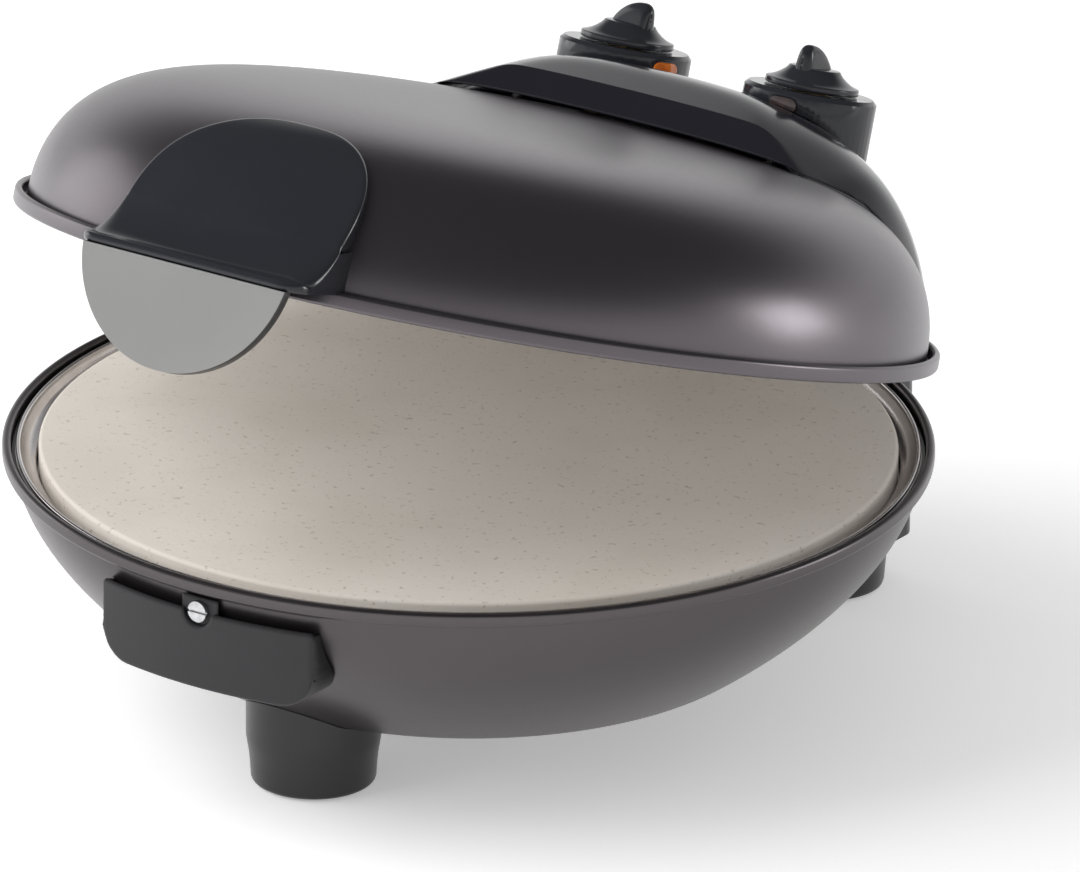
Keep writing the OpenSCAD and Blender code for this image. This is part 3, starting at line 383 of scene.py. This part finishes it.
burnt_steel = material("burnt steel", burnt, Metallic=0.8)
zinc = material("zinc", zinc_look, Metallic=1.0)
porcelain = material("porcelain", porcelain_look, Coat_Weight=0.2)
dress(burnt_steel, "lower_element")
dress(zinc, "lower_element_clips")
dress(porcelain, "lower_bushes")

# Front foot: a round moulded stub in satin black, cut to the underside of the bowl.
# Its lower edge is rounded and a rubber pad sits in it.


def satin_black(place):
    grain, cloud = place.noise(1500), place.noise(30)
    return {
        "Base Color": cloud.blend((0.012, 0.012, 0.013), (0.020, 0.020, 0.021)),
        "Roughness": grain * 0.10 + cloud * 0.06 + 0.24,
        "Normal": grain.bump(0.05, 0.0003),
    }


def under_bowl(radius):
    """Height of the bowl's underside over the floor at a distance from the middle."""
    line = bowl_out[np.argsort(bowl_out[:, 0])]
    return np.interp(radius, line[:, 0], line[:, 1]) + rim_z


satin = material("satin black", satin_black)
foot_place, foot_r, shoulder_z = -99.2, 25.1, 19
angle = np.linspace(0, 2 * np.pi, 120, endpoint=False)
foot_line = np.vstack([
    [[0, 0.8], [17.2, 0.8]],
    arc(21.1, 3.0, 2.2, -90, -4, 8),
    [[23.6, 8], [24.0, 12], [24.6, 15.5], [foot_r, shoulder_z]],
])
foot_rows = revolve(foot_line, 120) + [0, foot_place, 0]
share = np.concatenate([np.linspace(0.1, 1, 10), np.ones(6)])
wide = np.concatenate([np.full(10, foot_r), [24.7, 22, 16, 10, 5, 0]])
foot_x = wide[:, None] * np.cos(angle)
foot_y = wide[:, None] * np.sin(angle) + foot_place
foot_z = shoulder_z + share[:, None] * (under_bowl(np.hypot(foot_x, foot_y)) - 0.3 - shoulder_z)
foot_rows = np.concatenate([foot_rows, np.stack([foot_x, foot_y, foot_z], -1)])
front_foot = surface("front_foot_skin", foot_rows, wrap=True)
front_foot.data.materials.append(satin)
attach(front_foot, "base")
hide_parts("front_foot")

# Screws and pads of the feet: zinc screws from inside the bowl, and black rubber discs pressed in from below.
# The foot stands on its pad, which shows as a thin dark line.


def rubber_look(place):
    grit, bloom = place.noise(2500), place.noise(60)
    return {
        "Base Color": bloom.blend((0.010, 0.010, 0.010), (0.022, 0.022, 0.022)),
        "Roughness": grit * 0.12 + 0.62,
        "Normal": grit.bump(0.2, 0.0002),
    }


rubber = material("rubber", rubber_look, Specular_IOR_Level=0.3)
dress(zinc, "foot_screws")
dress(rubber, "foot_pads")

# Guard plate on the bowl's front: a curved moulding in matt dark grey with rounded lower corners.
# Its top is open, and a screw in the notch holds its tab to the bowl.


def grey_moulding(place):
    grain, cloud = place.noise(1800), place.noise(40)
    return {
        "Base Color": cloud.blend((0.026, 0.026, 0.028), (0.033, 0.033, 0.035)),
        "Roughness": grain * 0.12 + 0.42,
        "Normal": grain.bump(0.10, 0.0003),
    }


def plate_skin():
    """Columns are places across the plate, rows run from top to bottom, and the outermost are its wall.

    The top is at 0, with a notch of radius 6.2 and corners of 1.5; the bottom is at -30, with corners of 13.
    The face lies on a cylinder of radius 173.6. At a distance d from its edge it falls back by
    1.4 - sqrt(1.4^2 - (1.4 - d)^2), a quarter circle.
    """
    half = np.concatenate([
        np.linspace(0, 5.6, 12), np.linspace(5.8, 8.6, 13), np.linspace(9.6, 33, 14),
        np.linspace(34, 45.2, 14), np.linspace(45.4, 47, 9),
    ])
    x = np.concatenate([-half[:0:-1], half])
    far = np.abs(x)
    top = np.where(far < 6.1, 0.6 - np.sqrt(np.clip(6.2 ** 2 - x ** 2, 0, None)), 0)
    lip = (far >= 6.1) & (far < 7.2)
    top = np.where(lip, -1.2 + np.sqrt(np.clip(1.2 ** 2 - (7.2 - far) ** 2, 0, None)), top)
    top = np.where(far > 45.5, -1.5 + np.sqrt(np.clip(1.5 ** 2 - (far - 45.5) ** 2, 0, None)), top)
    bottom = -17 - np.where(far > 34, np.sqrt(np.clip(13 ** 2 - (far - 34) ** 2, 0, None)), 13)
    share = np.concatenate([
        [0, 0.004, 0.012, 0.024, 0.04, 0.06], np.linspace(0.1, 0.9, 13), [0.94, 0.96, 0.976, 0.988, 0.996, 1],
    ])
    h = top + (bottom - top) * share[:, None]
    x = np.broadcast_to(x, h.shape)
    end, down = np.full(40, 47.0), np.linspace(-1.5, -17, 40)
    edges = (x[0], top), (x[0], bottom), (end, down), (-end, down)
    rim = np.concatenate([np.stack(line, -1) for line in edges])
    depth = np.hypot(x[..., None] - rim[:, 0], h[..., None] - rim[:, 1]).min(-1)
    sunk = 1.4 - np.sqrt(1.4 ** 2 - np.clip(1.4 - depth, 0, 1.4) ** 2)
    face_y = -np.sqrt(173.6 ** 2 - x ** 2) + sunk
    x, h, y = (np.pad(part, 1, mode="edge") for part in (x, h, face_y))
    wall_r = bowl_radius(np.clip(8.35 - h, 0, 72)) - 0.3
    wall_y = -np.sqrt(wall_r ** 2 - x ** 2)
    y[-1], y[:, 0], y[:, -1] = wall_y[-1], wall_y[:, 0], wall_y[:, -1]
    y[0] = y[1] + 0.6
    return np.stack([x, y, h + rim_z - 11], -1)


moulded_grey = material("grey moulding", grey_moulding, Specular_IOR_Level=0.35)
plate = surface("front_plate_skin", plate_skin())
wall = plate.modifiers.new("wall", "SOLIDIFY")
wall.thickness = 0.0024
wall.offset = -1
plate.data.materials.append(moulded_grey)
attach(plate, "base")
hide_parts("front_plate")

tab_x, tab_h = np.meshgrid(np.linspace(-8, 8, 17), np.linspace(-14, 5, 12))
tab_r = 171.1 + 1.6 * np.clip((-9 - tab_h) / 5, 0, 1) ** 2
tab = surface("front_plate_tab", np.stack([tab_x, -np.sqrt(tab_r ** 2 - tab_x ** 2), tab_h + rim_z - 11], -1))
wall = tab.modifiers.new("wall", "SOLIDIFY")
wall.thickness = 0.0008
wall.offset = -1
tab.data.materials.append(moulded_grey)
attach(tab, "base")
dress(zinc, "front_plate_screw")

# Hinge tower at the back: one satin black moulding with two feet, a hollow for the wiring and two ears.
# Screws from inside the bowl hold it, and its edges are slightly rounded.


def soften(name, width):
    """Joins a carried-over node's triangles and rounds its sharp edges by a width in millimetres."""
    node = nodes[name]
    join = node.modifiers.new("join", "WELD")
    join.merge_threshold = 0.00001
    round_off = node.modifiers.new("round", "BEVEL")
    round_off.width = width / 1000
    round_off.segments = 2
    round_off.limit_method = "ANGLE"
    round_off.angle_limit = math.radians(40)
    round_off.harden_normals = True


def steel_look(place):
    along = place.axis(0) * 3000.0
    turned, stain = along.math("SINE", along, 0.0), place.noise(300)
    return {
        "Base Color": stain.blend((0.58, 0.58, 0.60), (0.68, 0.68, 0.70)),
        "Roughness": stain * 0.15 + 0.18,
        "Normal": turned.bump(0.04, 0.0001),
    }


def block_look(place):
    speck, cloud = place.noise(800), place.noise(60)
    return {
        "Base Color": speck.step(0.6, 0.8).blend((0.72, 0.70, 0.62), (0.60, 0.57, 0.48)),
        "Roughness": cloud * 0.2 + 0.4,
        "Normal": speck.bump(0.08, 0.0002),
    }


steel = material("pin steel", steel_look, Metallic=1.0)
dress(satin, "hinge_tower")
soften("hinge_tower", 0.8)
dress(zinc, "tower_screws")
dress(steel, "hinge_pins")
dress(rubber, "cord_gland")
dress(material("block plastic", block_look), "terminal_block")

# Baking stone: a pressed ceramic disc with a softly rounded edge, cream and finely grained.
# It lies loose on the pan's ledge.


def ceramic(place):
    fine, speck, stain = place.noise(1400, 3.0), place.noise(420), place.noise(14, 4.0)
    pale = stain.step(0.35, 0.7).blend((0.830, 0.780, 0.715), (0.780, 0.722, 0.650))
    return {
        "Base Color": speck.step(0.62, 0.74).blend(pale, (0.62, 0.55, 0.47)),
        "Roughness": fine * 0.2 + 0.62,
        "Normal": (fine + speck * 0.5).bump(0.25, 0.0004),
    }


stone = surface("baking_stone", revolve(np.vstack([
    [[0, -11.4], [80, -11.4], [158.8, -11.4], [159.8, -10.9], [160, -10.2]],
    arc(158.4, -1.0, 1.6, 0, 90, 8),
    [[120, 0.6], [60, 0.6], [0, 0.6]],
])) + [0, 0, rim_z], wrap=True)
stone.data.materials.append(material("baking stone", ceramic, Specular_IOR_Level=0.3))
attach(stone, "stone")
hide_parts("stone")

# Dome of the lid: one steel pressing in the same lacquer, with its rim turned up round the edge.
# A dark groove shows between the dome's side and the turned-up edge.

hinge_y, hinge_z = 192.5, 122.0
hinge_over_rim = 15.4
lid_angle = math.radians(17.87)


def lid(points):
    """Points of the shut lid, turned about the hinge to where the lid stands open."""
    points = np.asarray(points, float)
    y = points[..., 1] - hinge_y
    z = points[..., 2] - hinge_over_rim
    return np.stack([
        points[..., 0],
        hinge_y + y * math.cos(lid_angle) + z * math.sin(lid_angle),
        hinge_z - y * math.sin(lid_angle) + z * math.cos(lid_angle),
    ], -1)


dome_r, dome_top = 169.6, 60.5


def dome_radius(z):
    """Outer radius of the dome at a height over its rim line."""
    return dome_r * (1 - (z / dome_top) ** 2.26) ** 0.2


def dome_height(radius):
    """Height of the dome's outside over its rim line at a radius."""
    return dome_top * np.clip(1 - (radius / dome_r) ** 5, 0, 1) ** (1 / 2.26)


crown = np.linspace(0, 138, 40)
flank = np.linspace(float(dome_height(138)), 0, 52)[1:]
dome_out = np.vstack([
    np.stack([crown, dome_height(crown)], -1),
    np.stack([dome_radius(flank), flank], -1),
])
dome = surface("lid_dome", lid(revolve(np.vstack([
    dome_out,
    [[dome_r, -0.7]], arc(170.1, -0.8, 0.5, 180, 270, 5), arc(171.0, -0.8, 0.5, 270, 360, 5),
    arc(172.95, 2.35, 1.45, 180, 0, 14),
    arc(172.95, -1.05, 1.45, 0, -90, 8),
    [[165.6, -2.5], [165.6, -1.3], [168.4, -1.3]],
    inset(dome_out, -1.2)[::-1][1:-1],
    [[0, 59.3]],
]))), wrap=True)
dome.data.materials.append(lacquered)
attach(dome, "lid")
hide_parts("lid_shell")

# Reflector in the lid: bright steel pressed to a flat ceiling with sloping sides.
# Its flange lies on the dome's inner lip.


def reflector_look(place):
    dimple, heat = place.noise(90), place.noise(12, 3.0)
    return {
        "Base Color": heat.step(0.3, 0.75).blend((0.78, 0.77, 0.77), (0.62, 0.59, 0.57)),
        "Roughness": dimple * 0.08 + heat * 0.1 + 0.14,
        "Normal": dimple.bump(0.12, 0.0006),
    }


reflector = surface("lid_reflector_pan", lid(revolve(np.vstack([
    [[0, 47.2], [60, 47.2], [120, 47.2]],
    arc(121, 40.2, 7, 90, 32, 8),
    [[157.6, 0.6], [158.6, -0.6], [160, -1.3], [168.2, -1.3], [168.2, -0.5]],
    [[160.4, -0.5], [159.2, 0.4], [130.6, 44.6]],
    arc(123, 41, 7, 32, 90, 8),
    [[60, 48], [0, 48]],
]))), wrap=True)
reflector.data.materials.append(material("reflector steel", reflector_look, Metallic=1.0))
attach(reflector, "lid")
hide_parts("lid_reflector")

# Upper heating element: the same bent tube, hung under the reflector on zinc clips.
# Its ends pass through the reflector in white ceramic bushes.

dress(burnt_steel, "upper_element")
dress(zinc, "upper_element_clips")
dress(porcelain, "upper_bushes")

# Grip on the lid's front: a glossy black moulding that flares down the dome to a straight lip.
# Two screws from inside the dome hold it, and its edges are rounded.


def gloss(place):
    orange, haze = place.noise(160), place.noise(22, 3.0)
    return {
        "Base Color": haze.blend((0.022, 0.023, 0.028), (0.029, 0.030, 0.036)),
        "Roughness": haze * 0.06 + orange * 0.03 + 0.08,
        "Normal": orange.bump(0.04, 0.0003),
    }


def grip_skin():
    """Rows run down the grip's middle from its top to its lip, columns across it.

    Above 20 mm the surface is a flare about the lid's axis, whose radius is the inverse of the height
    12 + 47.4 (1 - ((r - 90) / 91.5)^3.29)^1.05, inside the arch |x/48|^2.6 + |(z - 20)/36|^2.6 = 1.
    Below it each column swings out to the lip's straight front, which is half round. The other edges are
    rounded by a quarter circle, and the last column on each side goes in to the dome.
    """
    edge_r, half_width, arch_z, arch_height, arch_power = 2, 48, 20, 36, 2.6
    off = np.array([0, 0.05, 0.2, 0.5, 0.9, 1.4, edge_r])
    inner = np.linspace(-1, 1, 61)[1:-1]

    def across(half):
        """Places over a row's width: close together in its rounded edges and even between them."""
        edge = np.maximum(half - off, 0)
        return np.hstack([-edge, inner * np.maximum(half - edge_r, 0), edge[:, ::-1]])

    def fall(gap):
        """How far the quarter circle lies under the surface at a distance from the edge."""
        return edge_r - np.sqrt(edge_r ** 2 - (edge_r - np.clip(gap, 0, edge_r)) ** 2)

    def ease(share, start, start_slope, end, end_slope):
        """Cubic from one value and slope to another."""
        square, cube = share ** 2, share ** 3
        return ((2 * cube - 3 * square + 1) * start + (cube - 2 * square + share) * start_slope
                + (3 * square - 2 * cube) * end + (cube - square) * end_slope)

    rise = np.sin(np.radians(np.linspace(90, 0, 60))[1:, None])
    z = arch_z + arch_height * rise
    radius = 90 + 91.5 * (1 - np.clip((z - 12) / 47.4, 0, 1) ** (1 / 1.05)) ** (1 / 3.29)
    x = across(half_width * (1 - rise ** arch_power) ** (1 / arch_power))
    y = -np.sqrt(radius ** 2 - x ** 2)
    wide, high = np.abs(x) / half_width, (z - arch_z) / arch_height
    rho = np.maximum((wide ** arch_power + high ** arch_power) ** (1 / arch_power), 1e-6)
    steep = np.gradient(radius[:, 0], z[:, 0])[:, None]
    slant = np.hypot(1, steep)
    fade = 1e-6 + np.hypot(
        (wide / rho) ** (arch_power - 1) / half_width,
        (high / rho) ** (arch_power - 1) / arch_height / slant,
    )
    drop = np.pad(fall((1 - rho) / fade), ((0, 0), (1, 1)), constant_values=9)
    x, y = (np.pad(part, ((0, 0), (1, 1)), mode="edge") for part in (x, y))
    shrink = 1 - drop / slant / np.hypot(x, y)
    upper = np.stack([x * shrink, y * shrink, z + steep / slant * drop], -1)

    share = np.linspace(0, 1, 34)[1:, None]
    half = half_width + share
    x = across(half)
    front = -196 + 9 - np.sqrt(9 ** 2 - np.clip(np.abs(x) - 40, 0, 8.99) ** 2) + 1.5
    y = ease(share, -np.sqrt(176.0 ** 2 - x ** 2), -6.5, front, -20)
    z = ease(share, arch_z, -16, 6.2, 3) - fall(half - np.abs(x))
    x, y, z = (np.pad(part, ((0, 0), (1, 1)), mode="edge") for part in (x, y, z))
    y[:, [0, -1]] = -158 - 28 * np.maximum(0, (share - 0.4) / 0.6)
    z[:, [0, -1]] = arch_z - 17.4 * np.minimum(1, share / 0.4)
    lower = np.stack([x, y, z], -1)

    lip_bottom = 2.6
    turn = np.radians(np.linspace(15, 180, 12))[:, None]
    lip = np.repeat(lower[-1:], len(turn), 0)
    lip[:, 1:-1, 1] -= 1.5 * np.sin(turn)
    lip[:, 1:-1, 2] = np.maximum(lip_bottom, lip[:, 1:-1, 2] - 1.8 * (1 - np.cos(turn)))
    under = lip[-1:].copy()
    under[:, 1:-1, 1] = -176
    under[..., 2] = lip_bottom
    return np.concatenate([upper, lower, lip, under])


glossy = material("gloss black", gloss, Specular_IOR_Level=0.4)
grip = surface("lid_grip", lid(grip_skin()))
grip.data.materials.append(glossy)
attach(grip, "lid")
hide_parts("lid_handle")

# Half disc under the grip's lip: a black moulding with a thin brushed silver face.
# Two screws from below hold its foot, and two more hold the grip from inside the dome.


def silver_look(place):
    x, y, z = place.axis(0) * 30.0, place.axis(1) * 4000.0, place.axis(2) * 4000.0
    brushed, haze = place.node("CombineXYZ", {}, {0: x, 1: y, 2: z}).noise(1.0, 3.0), place.noise(16)
    return {
        "Base Color": haze.blend((0.42, 0.42, 0.415), (0.50, 0.50, 0.49)),
        "Roughness": brushed * 0.14 + haze * 0.08 + 0.30,
        "Normal": brushed.bump(0.04, 0.0001),
    }


dress(satin, "guard_disc")
soften("guard_disc", 0.6)
dress(material("brushed silver", silver_look, Metallic=0.75), "guard_face")
dress(zinc, "guard_screws", "handle_screws")

# Control housing over the back of the lid: a black moulding with a lip and a crease along its front.
# It stands a thin gap off the dome and carries the two bezels.

cover_r, cover_y, crown_power = 148.5, 40, 5.07
front_y, edge_z = 77, 15


def housing_height(x, y):
    """Height of the housing's outside: the lowest of three forms, softly joined.

    They are its round crown 79.8 (1 - (r / 148.5)^5.07)^0.67 about the point (0, 40), a front face that
    rises by 9.2 over the first 8 from a line 2.6 over the dome, and a slope off each front corner.
    """
    out = np.hypot(x, y - cover_y)
    crown_z = 79.8 * np.clip(1 - (out / cover_r) ** crown_power, 0, 1) ** (1 / 1.49)
    face = np.interp(y, [front_y, 85, 112, 113], [0, 9.2, 18.5, 60])
    front_z = dome_height(np.hypot(x, front_y)) + 2.6 + face
    corner_z = 62 - 0.47 * (np.abs(x) - 82) - 0.02 * np.maximum(np.abs(x) - 90, 0) ** 2 + 0.2 * (y - 100)
    corner_soft, crease_soft = 3.5, 0.9
    top = -corner_soft * np.logaddexp(-crown_z / corner_soft, -corner_z / corner_soft) + 0.6
    return -crease_soft * np.logaddexp(-top / crease_soft, -front_z / crease_soft)


def housing_skin():
    """Columns are directions from the point (0, 40), rows go from the front wall's foot to the rear edge.

    Each column starts and ends where the form stands 0.7 proud of the dome.
    """
    turn = np.radians(np.linspace(-65.5, 65.5, 260))
    sine, cosine = np.sin(turn), np.cos(turn)
    radii = np.linspace(36, cover_r, 2400)[:, None]
    x, y = radii * sine, cover_y + radii * cosine
    under = dome_height(np.minimum(np.hypot(x, y), dome_r))
    proud = (housing_height(x, y) > np.maximum(edge_z, under + 0.7)) & (y >= front_y)
    starts = radii[proud.argmax(0), 0]
    ends = radii[len(radii) - 1 - proud[::-1].argmax(0), 0]
    starts = np.where(starts < (front_y - cover_y + 0.1) / cosine, (front_y - cover_y) / cosine, starts)
    x, y = starts * sine, cover_y + starts * cosine
    top_z = housing_height(x, y)
    foot_z = np.minimum(dome_height(np.hypot(x, y)) + 1.6, top_z - 0.1)
    wall = [np.stack([x, y, foot_z + (top_z - foot_z) * share], -1) for share in (0, 0.35, 0.7, 0.88)]
    front = np.concatenate([
        [77.15, 77.5], np.linspace(78, 84, 7), [84.6, 85, 85.4], np.linspace(86.5, 111, 16), [112],
    ])
    front_r = np.clip((front[:, None] - cover_y) / cosine, starts, ends)
    low, high = (
        np.arcsin(np.clip(line / cover_r, 0, 1) ** (crown_power / 2))
        for line in (np.clip((front[-1] - cover_y) / cosine, starts, ends), ends)
    )
    share = np.linspace(0, 1, 60)[1:, None]
    back_r = cover_r * np.sin(low + (high - low) * share) ** (2 / crown_power)
    r = np.concatenate([front_r, back_r])
    x, y = r * sine, cover_y + r * cosine
    return np.concatenate([wall, np.stack([x, y, np.maximum(housing_height(x, y), edge_z)], -1)])


def housing_look(place):
    grain, peel = place.noise(1200), place.noise(140)
    return {
        "Base Color": place.noise(18).blend((0.010, 0.010, 0.015), (0.016, 0.016, 0.023)),
        "Roughness": grain * 0.05 + peel * 0.04 + 0.14,
        "Normal": (peel + grain * 0.3).bump(0.05, 0.0003),
    }


cover = surface("control_cover", lid(housing_skin()))
wall = cover.modifiers.new("wall", "SOLIDIFY")
wall.thickness = 0.0022
wall.offset = -1
housing_black = material(
    "housing black", housing_look, Specular_IOR_Level=0.9, Coat_Weight=0.6, Coat_Roughness=0.1,
)
cover.data.materials.append(housing_black)
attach(cover, "lid")
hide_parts("control_housing")

# Hinge lugs at the back of the housing: two square arms with round ends, on the steel pins.
# They are moulded in one with it.

lug_r = 5.5
lug_line = np.vstack([
    arc(hinge_y, hinge_over_rim, lug_r, -90, 90, 24),
    [[165, hinge_over_rim + lug_r], [165, hinge_over_rim - lug_r]],
])
middle = lug_line.mean(0)
spokes = lug_line - middle
spoke = np.linalg.norm(spokes, axis=1)
for side_name, side_x in (("left", -1), ("right", 1)):
    rings = []
    for x, inward in ((36.3, spoke), (36.3, 0.4), (36.7, 0), (51.4, 0), (51.8, 0.4), (51.8, spoke)):
        ring = middle + spokes * (1 - inward / spoke)[:, None]
        rings.append(np.column_stack([np.full(len(ring), side_x * x), ring]))
    lug = surface(f"hinge_lug_{side_name}", lid(np.array(rings)), wrap=True)
    lug.data.materials.append(housing_black)
    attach(lug, "lid")

dress(zinc, "housing_screws")

# Bezels: two glossy black cups on the housing, cut underneath to its round top.
# Each has a slot in its wall for a lamp's lens, and its rim is rounded.

dress(glossy, "pod_left", "pod_right")
soften("pod_left", 0.5)
soften("pod_right", 0.5)

# Thermostats under the bezels' faces: zinc-plated bodies with threaded necks and steel spindles.
# Brass nuts on the necks clamp them.


def brass_look(place):
    tarnish, fine = place.noise(260), place.noise(2600)
    return {
        "Base Color": tarnish.step(0.35, 0.7).blend((0.72, 0.52, 0.24), (0.55, 0.38, 0.17)),
        "Roughness": tarnish * 0.2 + fine * 0.1 + 0.2,
        "Normal": fine.bump(0.05, 0.0001),
    }


dress(zinc, "thermostat_left", "thermostat_right")
dress(material("brass", brass_look, Metallic=1.0), "thermostat_nuts")
dress(steel, "spindle_left", "spindle_right")

# Lenses: an orange one on the left and a smoked one on the right, each a domed bar pressed in from inside.
# A small lamp sits behind each.


def lens_look(clear, deep):
    """Look of a lens in two shades of its colour."""
    def look(place):
        swirl, ripple = place.noise(220, 3.0), place.noise(900)
        return {
            "Base Color": swirl.step(0.3, 0.7).blend(clear, deep),
            "Roughness": ripple * 0.08 + 0.06,
            "Normal": ripple.bump(0.06, 0.0002),
        }
    return look


def glass_look(place):
    smoke = place.noise(400)
    return {
        "Base Color": smoke.blend((0.75, 0.66, 0.52), (0.60, 0.50, 0.40)),
        "Roughness": smoke * 0.1 + 0.08,
    }


orange = lens_look((0.85, 0.22, 0.03), (0.62, 0.12, 0.02))
smoked = lens_look((0.040, 0.030, 0.030), (0.075, 0.050, 0.048))
dress(material("orange lens", orange, Coat_Weight=0.6), "lamp_lens_left")
dress(material("smoked lens", smoked, Coat_Weight=0.6), "lamp_lens_right")
dress(material("lamp glass", glass_look, Coat_Weight=0.5), "lamps")

# Knobs: glossy black mouldings with a thin round skirt, a sloping shoulder and one fin to turn them by.
# Each is pushed onto its spindle.


def fin_skin(turn):
    """Rows run along the fin, columns over its top from side to side; it is turned about the knob's axis.

    The top is 2.6 + 14 sin(a) high at 6.5 - 15.5 cos(a) along, then rounds by 4 down the upright end at 10.5.
    Across, |v / w|^2.9 + |h / top|^4 = 1, with w = 3.5 at mid height and flared by 45 % towards the root.
    """
    back = np.radians(np.linspace(2, 90, 26))
    front = np.radians(np.linspace(90, 0, 12))[1:]
    run = np.concatenate([6.5 - 15.5 * np.cos(back), 6.5 + 4 * np.cos(front)])
    top = np.concatenate([2.6 + 14 * np.sin(back), 12.6 + 4 * np.sin(front)])
    wide = 3.5 * (1 - np.clip((run - 7.5) / 3.0, 0, 1) ** 3) ** 0.5
    wide = wide * (1 - 0.9 * np.clip((-6 - run) / 3.0, 0, 1) ** 2) ** 0.5
    run = np.append(run, 10.5)
    top = np.append(top, 7.9)
    wide = np.append(wide, 0.0)
    over = np.linspace(0, np.pi, 33)
    h = top[:, None] * np.abs(np.sin(over)) ** 0.5
    v = -wide[:, None] * np.sign(np.cos(over)) * np.abs(np.cos(over)) ** 0.7 * (1 + 0.45 * np.exp(-h / 4.5))
    u = np.broadcast_to(run[:, None], v.shape)
    turn = math.radians(turn)
    return np.stack([u * math.cos(turn) - v * math.sin(turn), u * math.sin(turn) + v * math.cos(turn), h], -1)


for side_name, centre_x, turn in (("left", -42.1, -12), ("right", 42.1, -89)):
    centre = np.array([centre_x, 141.0, 82.7])
    skirt = surface(f"knob_skirt_{side_name}", lid(centre + revolve(np.vstack([
        [[0, 4.2], [8.4, 4.2], [8.8, 3.8], [8.8, 0.4], [9.2, 0]],
        arc(17.4, 0.5, 0.5, -90, 0, 4), arc(17.3, 2.0, 0.6, 0, 80, 5),
        [[16.2, 2.9], [14.6, 3.6], [12.8, 4.7], [11.2, 6.0], [10.2, 7.1]],
        arc(9.2, 7.1, 0.9, 10, 90, 5), [[6, 8.1], [0, 8.1]],
    ]), 96)), wrap=True)
    skirt.data.materials.append(glossy)
    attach(skirt, f"knob_{side_name}")
    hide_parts(f"knob_{side_name}")
    fin = surface(f"knob_fin_{side_name}", lid(centre + fin_skin(turn)))
    fin.data.materials.append(glossy)
    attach(fin, f"knob_{side_name}")
